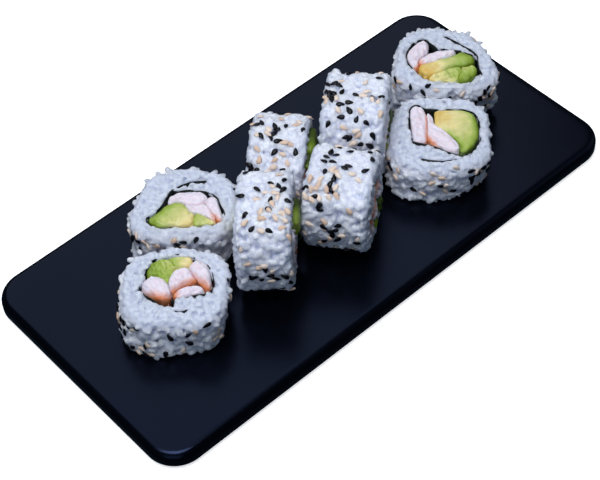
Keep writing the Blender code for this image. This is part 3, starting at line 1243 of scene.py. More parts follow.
    def waves(self, angle: Array, w: Array) -> Array:
        """How far the outside stands past the CAD ring: soft clumps, more ragged near the rims.

        Args:
            angle: angles round the slice.
            w: heights.

        Returns:
            One reach per place.
        """
        places = round_axis(angle, np.abs(self.outlines[1]).max(), w)
        calm = self.lying_calm if self.slice.lying else self.standing_calm
        soft = calm * self.clumps * ripple(places, self.clump_size, Seed.CLUMPS + self.number)
        ragged = self.ragged * self.looseness(angle, w, self.rim_reach)
        return soft + ragged * ripple(places, self.ragged_size, Seed.RAGGED + self.number)

    def looseness(self, angle: Array, w: Array, reach: float) -> Array:
        """How loosely the rice holds together: at a rim most, and within it most at +v.

        Args:
            angle: angles round the slice.
            w: heights.
            reach: distance from a cut face over which it falls to a third.

        Returns:
            One share per place, about one at a rim.
        """
        usual, growth = (self.lying_loose, 0.0) if self.slice.lying else self.standing_loose
        at_rim = usual + growth * np.sin(angle)
        return at_rim * np.exp(-np.maximum(np.minimum(w, self.top - w), 0.0) / reach)

    def turned(self, facing: Array, lean: Array | float) -> Array:
        """Random axes for grains that lie along a surface.

        Args:
            facing: per grain, the surface's outward direction.
            lean: spread of the angle, in radians, by which the long axis leaves the surface.

        Returns:
            Per grain its three axis vectors, each with its own scale.
        """
        count = len(facing)
        spare = np.where(np.abs(facing[:, 2:]) < 0.8, UP, (1.0, 0.0, 0.0))
        side = unit(np.cross(facing, spare))
        other = np.cross(facing, side)
        spin = self.rng.uniform(0.0, TURN, (count, 1))
        rise = self.rng.normal(0.0, lean, (count, 1))
        long = unit(np.cos(rise) * (np.cos(spin) * side + np.sin(spin) * other)
                    + np.sin(rise) * facing)
        wide = unit(np.cross(long, facing))
        size = self.rng.uniform(*self.grain_scale, (3, count, 1))
        return np.stack([wide * size[0], np.cross(long, wide) * size[1], long * size[2]], axis=1)

    def lattice(self, width: float, height: float, pitch: float) -> Array:
        """Jittered staggered points over a rectangle that starts at the origin.

        Args:
            width: the rectangle's width.
            height: its height.
            pitch: usual distance between neighbours.

        Returns:
            Flat points.
        """
        rows = max(2, round(height / (pitch * self.row_gap)))
        columns = max(2, round(width / pitch))
        row, column = np.meshgrid(np.arange(rows), np.arange(columns), indexing="ij")
        spots = np.stack([(column + 0.5 * (row % 2)) * width / columns,
                          (row + 0.5) * height / rows], axis=2).reshape(-1, 2)
        return spots + self.rng.normal(0.0, self.jitter * pitch, spots.shape)

    def wall_grains(self, layer: GrainLayer) -> tuple[Array, Array]:
        """Grains of the rolled outside, which stray and lean more where the rice is loose.

        Args:
            layer: how they lie.

        Returns:
            Axes and places of the grains.
        """
        around = TURN * np.abs(self.outlines[1]).max() * self.girth
        spots = self.lattice(around, self.top, layer.pitch)
        angle = spots[:, 0] / around * TURN
        w = np.clip(spots[:, 1], self.wall_gap, self.top - self.wall_gap)
        share = w / self.top
        reach = self.radius(angle, share) - self.rim_inset(w, angle)
        reach = reach + self.waves(angle, w)
        step = 0.05
        slope = self.radius(angle + step, share) - self.radius(angle - step, share)
        slope = slope / (2.0 * step)
        out = round_axis(angle, 1.0, 0 * angle)
        along = round_axis(angle + TURN / 4, 1.0, 0 * angle)
        facing = unit(out * reach[:, None] - along * slope[:, None])
        loose = self.looseness(angle, w, self.rim_reach)
        deep = layer.depth + self.rng.normal(0.0, layer.spread, len(spots)) * (1.0 + 2.0 * loose)
        deep = np.maximum(deep, self.wall_depth)
        axes = self.turned(facing, layer.lean + 0.9 * loose[:, None])
        return axes, round_axis(angle, reach, w) - facing * deep[:, None]

    def face_grains(self, end: int, layer: GrainLayer) -> tuple[Array, Array]:
        """Grains that the knife went through at one cut face.

        Args:
            end: 1 for the last cut face and 0 for the first.
            layer: how they lie.

        Returns:
            Axes and places of the grains.
        """
        loop = self.outlines[end]
        low, high = loop.min(axis=0), loop.max(axis=0)
        spots = low + self.lattice(*(high - low), layer.pitch)
        from_hole = edge_distance(spots, self.hole) * np.where(inside(spots, self.hole), -1.0, 1.0)
        from_edge = edge_distance(spots, loop)
        spots = spots[inside(spots, loop) & (from_edge > self.face_gap) & (from_hole > -self.overhang)]
        outwards = 1.0 if end else -1.0
        deep = layer.depth + self.fall(end, spots)
        deep = deep + self.rng.normal(0.0, layer.spread, len(spots))
        w = (self.top if end else 0.0) - outwards * deep
        facing = np.tile((0.0, 0.0, outwards), (len(spots), 1))
        return self.turned(facing, layer.lean), np.column_stack([spots, w])

    def pressed(self, points: Array) -> Array:
        """Flatten what stands past the envelope, and keep it off the plate and the filling.

        The knife takes off a share of the height past a cut face or its rounded rim, and the
        rolling mat a share of the reach past the outside. Points over the hollow by more than
        the cover are drawn back towards its edge, and at the slot to a gap from it.

        Args:
            points: grain points in the slice's frame.

        Returns:
            The pressed points.
        """
        flat, w = points[:, :2], points[:, 2]
        uneven = self.uneven * ripple(flat, self.uneven_size, Seed.KNIFE + self.number)
        angle = np.arctan2(flat[:, 1], flat[:, 0])
        for end, sign in ((0, -1.0), (1, 1.0)):
            room = self.top - self.fall(end, flat) + uneven
            past = np.maximum((w if end else self.top - w) - room, 0.0)
            w = w - sign * self.press * past
        reach = np.linalg.norm(flat, axis=1)
        mat = self.radius(angle, np.clip(w / self.top, 0.0, 1.0)) + self.waves(angle, w)
        mat = mat + (self.lying_proud if self.slice.lying else self.standing_proud)
        mat = mat + self.loose * self.looseness(angle, w, self.loose_reach)
        flat = flat * (1.0 - self.mat_press * np.maximum(reach - mat, 0.0) / reach)[:, None]
        edge = nearest_on(flat, self.hole)
        away = np.linalg.norm(flat - edge, axis=1)
        slot = np.abs(edge[:, None] - self.slot[None]).sum(axis=2).min(axis=1) < self.slot_reach
        cover = self.cover_waves * ripple(edge, self.cover_size, Seed.COVER + self.number)
        cover = np.maximum(self.slice.spec.cover + cover, self.least_cover)
        cover = np.where(slot, -self.slot_gap, cover)
        side = np.where(inside(flat, self.hole), 1.0, -1.0)
        over = side * away
        kept = np.where(over > cover, cover + self.spill * (over - cover), over)
        u, v = (edge + (flat - edge) * (side * kept / np.maximum(away, 0.01))[:, None]).T
        if self.slice.lying:
            deep = self.outlines[1][:, 1]
            v = np.clip(v, deep.min() - self.lift, deep.max() + self.headroom)
        else:
            w = np.maximum(w, -self.lift)
        return np.column_stack([u, v, w])

    def core(self) -> Shell:
        """The CAD ring, smaller outside and lower at its cut faces, and snug against the nori.

        Returns:
            The core's shell.
        """
        spots, faces = self.slice.solid(self.node)
        flat, w = spots[:, :2], spots[:, 2]
        angle = np.arctan2(flat[:, 1], flat[:, 0])
        reach = np.linalg.norm(flat, axis=1)
        whole = self.radius(angle, w / self.top)
        outside = reach > whole - self.core_edge
        rim = self.rim_inset(np.clip(w, self.core_recess, None), angle)
        rim = np.maximum(rim - self.core_rim, 0.0)
        drawn = (whole - self.core_inset - rim) / reach
        snug = grown(self.hole[::-1], -self.snug)[::-1] - self.hole
        match = np.linalg.norm(flat[:, None] - self.hole[None], axis=2).argmin(axis=1)
        flat = np.where(outside[:, None], flat * drawn[:, None], flat + snug[match])
        w = np.clip(w, self.core_recess, self.top - self.core_recess)
        return Shell(np.column_stack([flat, w]), np.empty((0, 4), int), faces)

    def fused(self, mass: Shell) -> Mesh:
        """One skin round the core and grains, eased where they meet and grooved at the slot.

        The value cut is stored for the finish: 1 at a cut face, falling to 0 at cut_fade times
        cut_depth into the rice.

        Args:
            mass: all of them, in metres.

        Returns:
            The skin's mesh.
        """
        worker = bpy.data.objects.new("worker", mass.mesh("worker"))
        bpy.context.scene.collection.objects.link(worker)
        skin = worker.modifiers.new("skin", "REMESH")
        skin.mode = "VOXEL"
        skin.voxel_size = self.voxel * MM
        ease = worker.modifiers.new("ease", "SMOOTH")
        ease.factor = 0.5
        ease.iterations = 1
        thin = worker.modifiers.new("thin", "DECIMATE")
        thin.ratio = self.kept_share
        graph = bpy.context.evaluated_depsgraph_get()
        mesh = bpy.data.meshes.new_from_object(worker.evaluated_get(graph))
        mesh.name = f"{self.node}_mass"
        mesh.materials.clear()
        points = self.slice.local(mesh_points(mesh))
        w = points[:, 2]
        deep = np.minimum(w, self.top - w)
        set_values(mesh, "cut", np.clip(self.cut_fade - deep / self.cut_depth, 0.0, 1.0))
        near = np.flatnonzero((deep < self.groove_depth) & inside(points[:, :2], self.outlines[1]))
        away = np.linalg.norm(points[near, None, :2] - self.flap[None, ::3], axis=2).min(axis=1)
        dip = self.groove * np.exp(-(away / self.slot_gap) ** 2)
        points[near, 2] -= dip * np.sign(w[near] - self.top / 2)
        mesh.vertices.foreach_set("co", self.slice.row(points).astype(np.float32).ravel())
        mesh.shade_smooth()
        bpy.data.objects.remove(worker)
        return mesh


# ---------------------------------------------------------------------------- nori


@dataclass
class NoriSheet:
    """The seaweed strip of one slice, crinkled and cut a little unevenly.

    Attributes:
        slice: the slice's frame.
        ring: its rice, whose rounded rims the strip follows.
        material: the strip's finish.
        samples: places along the strip.
        levels: places across it, and thickness its thickness.
        crinkle: height of its crinkles, and crinkle_size how far apart they are.
        waver: height of the waves in its cut edges, waver_size how far apart they are, and
            stand how far they go up at most.
        recess: how far its edges lie under the cut faces.
    """

    slice: SliceFrame
    ring: RiceRing
    material: Material
    samples: int = 170
    levels: int = 7
    thickness: float = 0.32
    crinkle: float = 0.08
    crinkle_size: float = 5.0
    waver: float = 0.22
    waver_size: float = 6.0
    stand: float = 0.05
    recess: float = 0.15

    def build(self) -> Piece:
        """Carry a thin upright loop along the strip's middle line.

        Returns:
            The piece that stands for the CAD node nori_N.
        """
        number = self.slice.number
        path = resampled(self.middle_line(), self.samples, closed=False)
        run = unit(np.gradient(path, axis=0))
        left = np.column_stack([-run[:, 1], run[:, 0]])
        edge = self.waver * ripple(path, self.waver_size, Seed.NORI_EDGE + number)
        edge = np.minimum(edge, self.stand)
        low = self.recess + np.abs(0.6 * edge) + self.ring.fall(0, path)
        high = self.ring.top - self.recess + edge - self.ring.fall(1, path)
        w = low[:, None] + (high - low)[:, None] * np.linspace(0.0, 1.0, self.levels)
        spread = np.repeat(path[:, None], self.levels, axis=1)
        sway = ripple(np.dstack([spread, w]), self.crinkle_size, Seed.NORI_CRINKLE + number)
        sway *= self.crinkle
        sides = []
        for half, heights, shift in ((0.5, w, sway), (-0.5, w[:, ::-1], sway[:, ::-1])):
            reach = shift + half * self.thickness
            sides.append(np.dstack([path[:, None] + left[:, None] * reach[..., None], heights]))
        shell = ringed_shell(np.concatenate(sides, axis=1))
        mesh = shell.moved(self.slice.row(shell.points)).mesh("nori_sheet")
        return add_piece(f"nori_sheet_{number}", mesh, self.material, (f"nori_{number}",))

    def middle_line(self, samples: int = 40) -> Array:
        """Middle of the thin CAD outline, whose two shortest sides are the strip's ends.

        Args:
            samples: how many places are worked out.

        Returns:
            Flat places from one end to the other.
        """
        loop = self.slice.loops(f"nori_{self.slice.number}")[0]
        side = np.linalg.norm(np.roll(loop, -1, axis=0) - loop, axis=1)
        first, second = np.sort(np.argsort(side)[:2])
        there = loop[first + 1:second + 1]
        back = np.roll(loop, -(second + 1), axis=0)[:len(loop) - len(there)][::-1]
        return (resampled(there, samples, False) + resampled(back, samples, False)) / 2


# ---------------------------------------------------------------------------- fillings


@dataclass(frozen=True)
class FillingLook:
    """How one chunk of filling looks.

    Attributes:
        rind: direction in degrees, in the cut face, towards its green or orange side.
        span: colour value at the far side and at that side.
        rise: how far its top stands past the cut.
        tilt: how much higher its rind side is.
        round: radius of its upper edge.
        mash: height of its lumps.
        rim: how much the colour value grows at its outline.
    """

    rind: float
    span: tuple[float, float]
    rise: float = 0.5
    tilt: float = 0.0
    round: float = 0.9
    mash: float = 0.12
    rim: float = 0.0


LOOKS = {
    Design.FIVE_CHUNKS: {
        "avocado_slice": FillingLook(190.0, (0.12, 0.62), 0.6, -0.3, 1.0, 0.10),
        "avocado_flesh": FillingLook(200.0, (0.38, 0.64), 0.2, 0.0, 0.9, 0.5, 0.2),
        # Spans past 1 push these prawns' skin sides into the brown stop, which is partly painted
        # shade.
        "prawn_left": FillingLook(262.0, (0.08, 1.1), 1.3, -1.0, 1.9, 0.22),
        "prawn_middle": FillingLook(305.0, (0.10, 1.12), 1.3, -1.0, 1.7, 0.22),
        "prawn_right": FillingLook(235.0, (0.16, 0.95), 1.3, -0.6, 1.5, 0.26),
        "prawn_low": FillingLook(190.0, (0.0, 0.85), 0.7, 0.0, 1.0, 0.22),
    },
    Design.WIDE_AVOCADO: {
        "avocado_slab": FillingLook(140.0, (0.12, 0.62), 0.8, -0.4, 1.2, 0.2, 0.25),
        "avocado_end": FillingLook(165.0, (0.20, 0.62), 0.5, 0.0, 0.9, 0.10),
        "prawn_back": FillingLook(300.0, (-0.1, 0.45), 0.7, 0.0, 1.4, 0.26),
        "prawn_middle": FillingLook(20.0, (-0.1, 0.75), 0.6, 0.0, 0.8, 0.22),
        "prawn_right": FillingLook(235.0, (-0.05, 0.75), 0.9, 0.0, 0.9, 0.22),
    },
    Design.GREEN_RIM: {
        "avocado_half": FillingLook(-22.0, (0.03, 0.52), 0.3, 0.0, 0.6, 0.14, 0.65),
        "prawn_left": FillingLook(0.0, (-0.2, 0.88), 0.8, -0.3, 1.1, 0.24),
        "prawn_right": FillingLook(215.0, (-0.1, 1.0), 0.7, -0.3, 1.1, 0.28),
    },
    Design.STACKED_BARS: {
        "prawn_left": FillingLook(-40.0, (-0.1, 0.95), 0.8, -0.4, 1.2, 0.24),
        "prawn_bar": FillingLook(215.0, (-0.15, 0.72), 0.8, -0.4, 1.1, 0.22),
        "avocado_bar": FillingLook(25.0, (-0.02, 0.64), 0.7, 0.0, 1.2, 0.12, 0.4),
        "avocado_low": FillingLook(25.0, (0.14, 0.62), -0.2, 0.0, 1.0, 0.3),
        "avocado_lump": FillingLook(-50.0, (0.38, 0.72), 0.5, 0.0, 1.1, 0.25, 0.2),
    },
}


@dataclass
class Filling:
    """One chunk of avocado or prawn, through the whole thickness of its slice.

    The chunk's outline is split at its two farthest points into a left and a right side. Loops
    that climb the left wall, cross the crowned top, go down the right wall and return under the
    chunk are carried from one end to the other.

    Attributes:
        slice: the slice's frame.
        node: the CAD node that it stands for.
        material: its finish.
        kind: what it is.
        look: how it looks.
        swell: how far it presses into its neighbours.
        samples: places round its outline.
        seed_step: how far apart the random seeds of two slices are.
        rows: loops, and across and levels the places over the top and up a wall.
        gathered: how much the loops gather towards the ends.
        crown_reach: distance from the outline over which the top rises to its full height.
        under_share: share of the rise and tilt that its underside has.
        least_round: least radius of its upper edge where the chunk is thin.
        lumps: wavelengths of its large and small lumps, and lump_gap how far from the outline
            they have their full height.
        stand: how far avocado stands out of a lying slice, and lying_rise the share of its rise
            that any chunk keeps there.
        waist: share by which its walls are drawn in, waist_waves how much that varies, and
            waist_size over which length.
        fade: power of the share by which prawn turns from white to orange.
        rim_reach: distance from the outline over which its rim's colour fades.
        wall_skin_and_shade: growth of prawn's colour value down its wall, over wall_depth, partly
        its skin and partly painted shade.
        lying_tone_and_shade: colour value that is added in a lying slice at its first cut face,
            partly a darker tone and partly painted shade.
        avocado_green_and_shade: what is added besides at the last cut face, for avocado, partly a
            greener tone and partly painted shade on that face.
        prawn_tone_and_shade: the same for prawn, partly a darker tone and partly painted shade.
    """

    slice: SliceFrame
    node: str
    material: Material
    kind: Kind
    look: FillingLook
    swell: float = 0.42
    samples: int = 90
    seed_step: int = 17
    rows: int = 44
    across: int = 26
    levels: int = 9
    gathered: float = 0.85
    crown_reach: float = 1.2
    under_share: float = 0.3
    least_round: float = 0.35
    lumps: tuple[float, float] = (3.4, 1.6)
    lump_gap: float = 0.8
    stand: float = 1.3
    lying_rise: float = 0.3
    waist: float = 0.05
    waist_waves: float = 0.04
    waist_size: float = 6.0
    fade: float = 2.6
    rim_reach: float = 1.3
    wall_skin_and_shade: float = 0.30
    wall_depth: float = 3.0
    lying_tone_and_shade: float = 0.1
    avocado_green_and_shade: float = 0.5
    prawn_tone_and_shade: float = 0.12

    def __post_init__(self) -> None:
        """Read the chunk's outline, the direction of its colours and its random seed."""
        angle = math.radians(self.look.rind + (180.0 if self.slice.spec.half_turned else 0.0))
        self.is_avocado = self.kind is Kind.AVOCADO
        self.heading = np.array([math.cos(angle), math.sin(angle)])
        outline = resampled(self.slice.loops(self.node)[0], self.samples, closed=True)
        self.loop = grown(outline, self.swell)
        self.seed = Seed.CHUNKS + self.slice.number * self.seed_step + len(self.node)

    def build(self) -> Piece:
        """Make the chunk.

        Returns:
            The piece that stands for its CAD node.
        """
        left, right = self.sides()
        share = (1.0 - np.cos(np.linspace(0.0, math.pi, self.across))) / 2
        flat = left[:, None] + (right - left)[:, None] * share[None, :, None]
        deep = edge_distance(flat.reshape(-1, 2), self.loop).reshape(flat.shape[:2])
        top = self.crown(flat, deep, self.seed)
        bottom = self.slice.thickness - self.crown(flat, deep, self.seed + 5, self.under_share)
        climb = np.linspace(0.0, 1.0, self.levels)[1:-1]
        walls = []
        for side in (0, -1):
            w = bottom[:, side, None] + (top[:, side] - bottom[:, side])[:, None] * climb
            walls.append(np.dstack([np.repeat(flat[:, side, None], len(climb), axis=1), w]))
        rings = np.concatenate([walls[0], np.dstack([flat, top]), walls[1][:, ::-1],
                                np.dstack([flat, bottom])[:, ::-1]], axis=1)
        rings = self.waisted(rings)
        run, over = np.diff(left, axis=0)[self.rows // 2], (right - left)[self.rows // 2]
        if run[0] * over[1] < run[1] * over[0]:
            rings = rings[:, ::-1]
        shell = ringed_shell(rings)
        mesh = shell.moved(self.slice.row(shell.points)).mesh(self.node)
        set_values(mesh, "rind" if self.is_avocado else "skin", self.colour_values(shell.points))
        name = self.node.replace("_", "_chunk_", 1)
        return add_piece(name, mesh, self.material, (self.node,))

    def sides(self) -> tuple[Array, Array]:
        """The outline's two sides between its farthest points, both in the same direction.

        Returns:
            Flat places along each side, without its ends.
        """
        apart = np.linalg.norm(self.loop[:, None] - self.loop[None], axis=2)
        first, second = sorted(np.unravel_index(apart.argmax(), apart.shape))
        there = self.loop[first:second + 1]
        back = np.roll(self.loop, -second, axis=0)[:len(self.loop) - (second - first) + 1][::-1]
        there = resampled(there, self.rows + 2, False, self.gathered)[1:-1]
        back = resampled(back, self.rows + 2, False, self.gathered)[1:-1]
        return there, back

    def crown(self, flat: Array, deep: Array, seed: int, share: float = 1.0) -> Array:
        """Height of the chunk's end over its outline.

        It falls by a quarter round of the given radius at the outline, rises inwards to the full
        crown over about two millimetres, leans by the tilt and carries lumps of two sizes.

        Args:
            flat: places in the cut face, as (rows, across, 2).
            deep: each place's distance from the outline.
            seed: which lumps.
            share: how much of the rise and tilt is used.

        Returns:
            The heights, as (rows, across).
        """
        look = self.look
        fall = quarter_round(deep, min(look.round, max(self.least_round, 0.9 * float(deep.max()))))
        middle = self.loop.mean(axis=0)
        off = (flat - middle) @ self.heading / np.abs((self.loop - middle) @ self.heading).max()
        large, small = self.lumps
        lumps = ripple(flat, large, seed) + 0.5 * ripple(flat, small, seed + 1)
        held = np.minimum(deep / self.lump_gap, 1.0)
        rise = look.rise
        if self.slice.lying:
            more = self.stand if self.is_avocado else -self.slice.spec.shy
            rise = self.lying_rise * rise + more
        lifted = rise * (1.0 - np.exp(-deep / self.crown_reach)) + look.tilt * off
        return self.slice.thickness + share * lifted - fall + look.mash * lumps * held

    def waisted(self, rings: Array) -> Array:
        """Draw the walls in a little, unevenly, between the two cut faces.

        Args:
            rings: the loops' places.

        Returns:
            The drawn places.
        """
        share = np.clip(rings[..., 2] / self.slice.thickness, 0.0, 1.0)
        draw = self.waist + self.waist_waves * ripple(rings, self.waist_size, self.seed + 9)
        draw = np.clip(draw, 0.0, 4.0 * self.waist)
        flat = rings[..., :2]
        pull = (4.0 * share * (1.0 - share) * draw)[..., None]
        return np.dstack([flat + (flat.mean(axis=1, keepdims=True) - flat) * pull, rings[..., 2]])

    def colour_values(self, points: Array) -> Array:
        """Colour value at each point: along the rind direction, with a darker rim and a darker wall,
        the wall partly painted shade.

        The value of a lying slice's filling also grows along w, from the cut face that is seen
        from behind to the one that stands out between the slices: partly a darker tone and partly
        painted shade on that face.

        Args:
            points: the chunk's points in the slice's frame.

        Returns:
            One value per point, mostly from 0 to 1.
        """
        low, high = self.look.span
        reach = self.loop @ self.heading
        share = (points[:, :2] @ self.heading - reach.min()) / np.ptp(reach)
        value = low + (high - low) * share ** (1.0 if self.is_avocado else self.fade)
        near = np.exp(-edge_distance(points[:, :2], self.loop) / self.rim_reach)
        value = value + self.look.rim * near * np.clip(1.6 * share - 0.3, 0.0, 1.0)
        # Painted shade, with some of the skin's colour: a prawn's wall turns towards orange and brown
        # the deeper it lies under the cut face.
        if not self.is_avocado:
            sunk = np.clip((self.slice.thickness - points[:, 2]) / self.wall_depth, 0.0, 1.0)
            value = value + self.wall_skin_and_shade * sunk * np.clip(share, 0.0, 1.0)
        # Painted shade, with some darker tone: a lying slice's filling darkens towards the cut face
        # that stands out between the slices.
        if self.slice.lying:
            tint = self.avocado_green_and_shade if self.is_avocado else self.prawn_tone_and_shade
            value = value + self.lying_tone_and_shade + tint * points[:, 2] / self.slice.thickness
        return np.clip(value, -0.1, 1.1)


# ---------------------------------------------------------------------------- sesame


@dataclass
class SesameCoat:
    """All the seeds of one kind, pressed into the rice of every slice.

    Attributes:
        finish: the seeds' finish, whose name the piece has too.
        seed: which random places, with the slice's number added.
        column: which number of a cluster counts them.
        taken: places of all seeds so far, of every kind.
        apart: least distance between two seeds.
        margin: least distance of a scattered seed from a cut face.
        cluster_turn: spread of a cluster's seeds round the slice, in radians.
        cluster_width: their spread along it, and cluster_margins their least distances from the
            first and the last cut face.
        size: width, thickness and length of a seed.
        scales: smallest and largest scale of a seed.
        foothold: how far from its middle the rice under its ends is looked for.
        start: how far from the slice's axis that search starts, and search how far it goes.
        underside: how steeply downwards the outside of a lying slice may face under a seed.
        follow: how much a seed keeps its own heading, against the slope of the rice.
        proud: how far its middle stands off the rice.
        reach: least distance of the rice under it from the slice's middle.
        axes, places, tones: axes, place and tone of every seed so far.
    """

    finish: SeedFinish
    seed: int
    column: int
    taken: list[Array]
    apart: float = 1.7
    margin: float = 1.4
    cluster_turn: float = 0.16
    cluster_width: float = 2.6
    cluster_margins: tuple[float, float] = (1.0, 0.8)
    size: tuple[float, float, float] = (2.0, 0.95, 3.5)
    scales: tuple[float, float] = (0.86, 1.1)
    foothold: float = 0.9
    start: float = 40.0
    search: float = 60.0
    underside: float = -0.75
    follow: float = 1.5
    proud: float = 0.22
    reach: float = 11.0
    axes: list[Array] = field(default_factory=list)
    places: list[Array] = field(default_factory=list)
    tones: list[float] = field(default_factory=list)

    def scatter(self, held: SliceFrame, rice: Piece, count: int) -> None:
        """Press seeds into one slice's rolled outside, scattered and in the slice's clusters.

        Args:
            held: the slice.
            rice: its rice.
            count: how many seeds are scattered.
        """
        rng = np.random.default_rng(self.seed + held.number)
        tree = BVHTree.FromObject(rice, bpy.context.evaluated_depsgraph_get())
        angle = [rng.uniform(0.0, TURN, count)]
        w = [rng.uniform(self.margin, held.thickness - self.margin, count)]
        first, last = self.cluster_margins
        for turn, share, *counts in held.spec.clusters:
            many = counts[self.column]
            angle.append(rng.normal(math.radians(turn), self.cluster_turn, many))
            level = rng.normal(share * held.thickness, self.cluster_width, many)
            w.append(np.clip(level, first, held.thickness - last))
        for turn, level in zip(np.concatenate(angle), np.concatenate(w)):
            self.press(held, tree, turn, level, rng)

    def press(self, held: SliceFrame, tree: BVHTree, turn: float, level: float,
              rng: np.random.Generator) -> None:
        """Lay one seed on the rice, over the bumps that lie under its middle and its two ends.

        Rays from outside towards the slice's axis find the rice there. No seed is laid under a
        lying slice, too close to another one, or where the rice is in a dip.

        Args:
            held: the slice.
            tree: its rice.
            turn: the seed's angle round the slice.
            level: its place along the slice's axis.
            rng: source of its spin, size and tone.
        """
        out = np.array([math.cos(turn), math.sin(turn), 0.0])
        side = np.array([-math.sin(turn), math.cos(turn), 0.0])
        along = np.array(UP)
        spin = rng.uniform(0.0, TURN)
        lies = math.cos(spin) * side + math.sin(spin) * along
        away = out @ held.axes
        hits = []
        for step in (0.0, self.foothold, -self.foothold):
            start = held.row(out * self.start + along * level + lies * step)
            hits.append(tree.ray_cast(Vector(start), Vector(-away), self.search * MM)[0])
        if None in hits or (held.lying and away[2] < self.underside):
            return
        spots = np.array(hits)
        heights = spots @ away
        if self.taken and np.linalg.norm(self.taken - spots[0], axis=1).min() < self.apart * MM:
            return
        self.taken.append(spots[0])
        if heights.min() < (held.origin @ away + self.reach) * MM:
            return
        long = unit(unit(spots[1] - spots[2]) + self.follow * (lies @ held.axes))
        facing = unit(away - (away @ long) * long)
        lift = 0.5 * heights.max() + 0.5 * heights.mean() - heights[0]
        scale = rng.uniform(*self.scales)
        self.axes.append(np.stack([np.cross(facing, long), facing, long]) * scale * MM)
        self.places.append(spots[0] + away * lift + facing * self.proud * MM)
        self.tones.append(rng.uniform(0.0, 1.0))

    def build(self) -> Piece:
        """Make every seed as one piece, each a teardrop that is flat and pointed at one end.

        Returns:
            The piece.
        """
        one = lump((-1.3, 1.42), (-0.42, -0.12), self.size)
        mesh = one.repeated(np.array(self.axes), np.array(self.places)).mesh(self.finish.name)
        set_values(mesh, "tone", np.repeat(self.tones, len(one.points)))
        return add_piece(self.finish.name, mesh, self.finish.material())


# ---------------------------------------------------------------------------- plate


@dataclass
class Plate:
    """The flat plate: a rounded rectangle with a softly rounded upper edge and an eased foot.

    Attributes:
        corner: radius of its corners.
        top_round: radius of its upper edge, and foot_round of its foot.
        corner_steps: places round a corner, and side_steps between two corners.
        round_steps: rings over each rounded edge.
        under: shares of the foot's outline where rings cross its underside, from the middle.
        over: shares of the upper outline where rings cross its top.
    """

    corner: float = 13.0
    top_round: float = 3.0
    foot_round: float = 2.8
    corner_steps: int = 20
    side_steps: int = 24
    round_steps: int = 9
    under: tuple[float, ...] = (0.35, 0.7, 0.94)
    over: tuple[float, ...] = (0.985, 0.94, 0.84, 0.66, 0.44, 0.2)

    def build(self) -> Piece:
        """Carry the plate's profile round its outline and close it above and below.

        Returns:
            The piece that stands for the CAD node plate.
        """
        low, high = (np.array(corner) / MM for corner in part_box("plate"))
        half, height = (high - low)[:2] / 2, high[2] - low[2]
        turn = np.linspace(0.0, math.pi / 2, self.round_steps)
        foot = self.foot_round * (1 - np.stack([np.sin(turn), np.cos(turn)], axis=1))
        brim = self.top_round * (1 - np.stack([np.cos(turn), np.sin(turn)], axis=1))
        brim[:, 1] = height - brim[:, 1]
        rings = [self.outline(half, inset, level) for inset, level in np.concatenate([foot, brim])]
        stack = np.array([rings[0] * (share, share, 1.0) for share in self.under] + rings
                         + [rings[-1] * (share, share, 1.0) for share in self.over])
        stack[..., 2] += low[2]
        mesh = ringed_shell(stack * MM).mesh("plate_glazed")
        return add_piece("plate_glazed", mesh, GlazeFinish().material(), ("plate",))

    def outline(self, half: Array, inset: float, level: float) -> Array:
        """Rounded rectangle at one height: four arcs, each followed by a straight side.

        Args:
            half: half the plate's length and width.
            inset: how far the outline is drawn in.
            level: its height.

        Returns:
            Places round the outline, anticlockwise from above.
        """
        turn = np.arange(4)[:, None] * math.pi / 2 + np.linspace(0.0, math.pi / 2, self.corner_steps)
        middle = (half - self.corner) * ((1, 1), (-1, 1), (-1, -1), (1, -1))
        arc = middle[:, None] + (self.corner - inset) * np.dstack([np.cos(turn), np.sin(turn)])
        share = np.linspace(0.0, 1.0, self.side_steps + 2)[1:-1, None]
        side = arc[:, -1:] + (np.roll(arc[:, :1], -1, axis=0) - arc[:, -1:]) * share
        flat = np.concatenate([arc, side], axis=1).reshape(-1, 2)
        return np.column_stack([flat, np.full(len(flat), level)])


# ---------------------------------------------------------------------------- studio


@dataclass(frozen=True)
class Softbox:
    """One square light aimed at the plate's middle, at two angles in degrees and a distance."""

    name: str
    azimuth: float
    elevation: float
    distance: float
    size: float
    power: float
    colour: Colour = WHITE

    def build(self) -> None:
        """Add the light."""
        away = toward(self.azimuth, self.elevation)
        lamp = bpy.data.lights.new(self.name, "AREA")
        lamp.shape = "SQUARE"
        lamp.size = self.size
        lamp.energy = self.power
        lamp.color = self.colour
        holder = bpy.data.objects.new(self.name, lamp)
        holder.location = away * self.distance
        holder.rotation_mode = "QUATERNION"
        holder.rotation_quaternion = away.to_track_quat("Z", "Y")
        bpy.context.scene.collection.objects.link(holder)


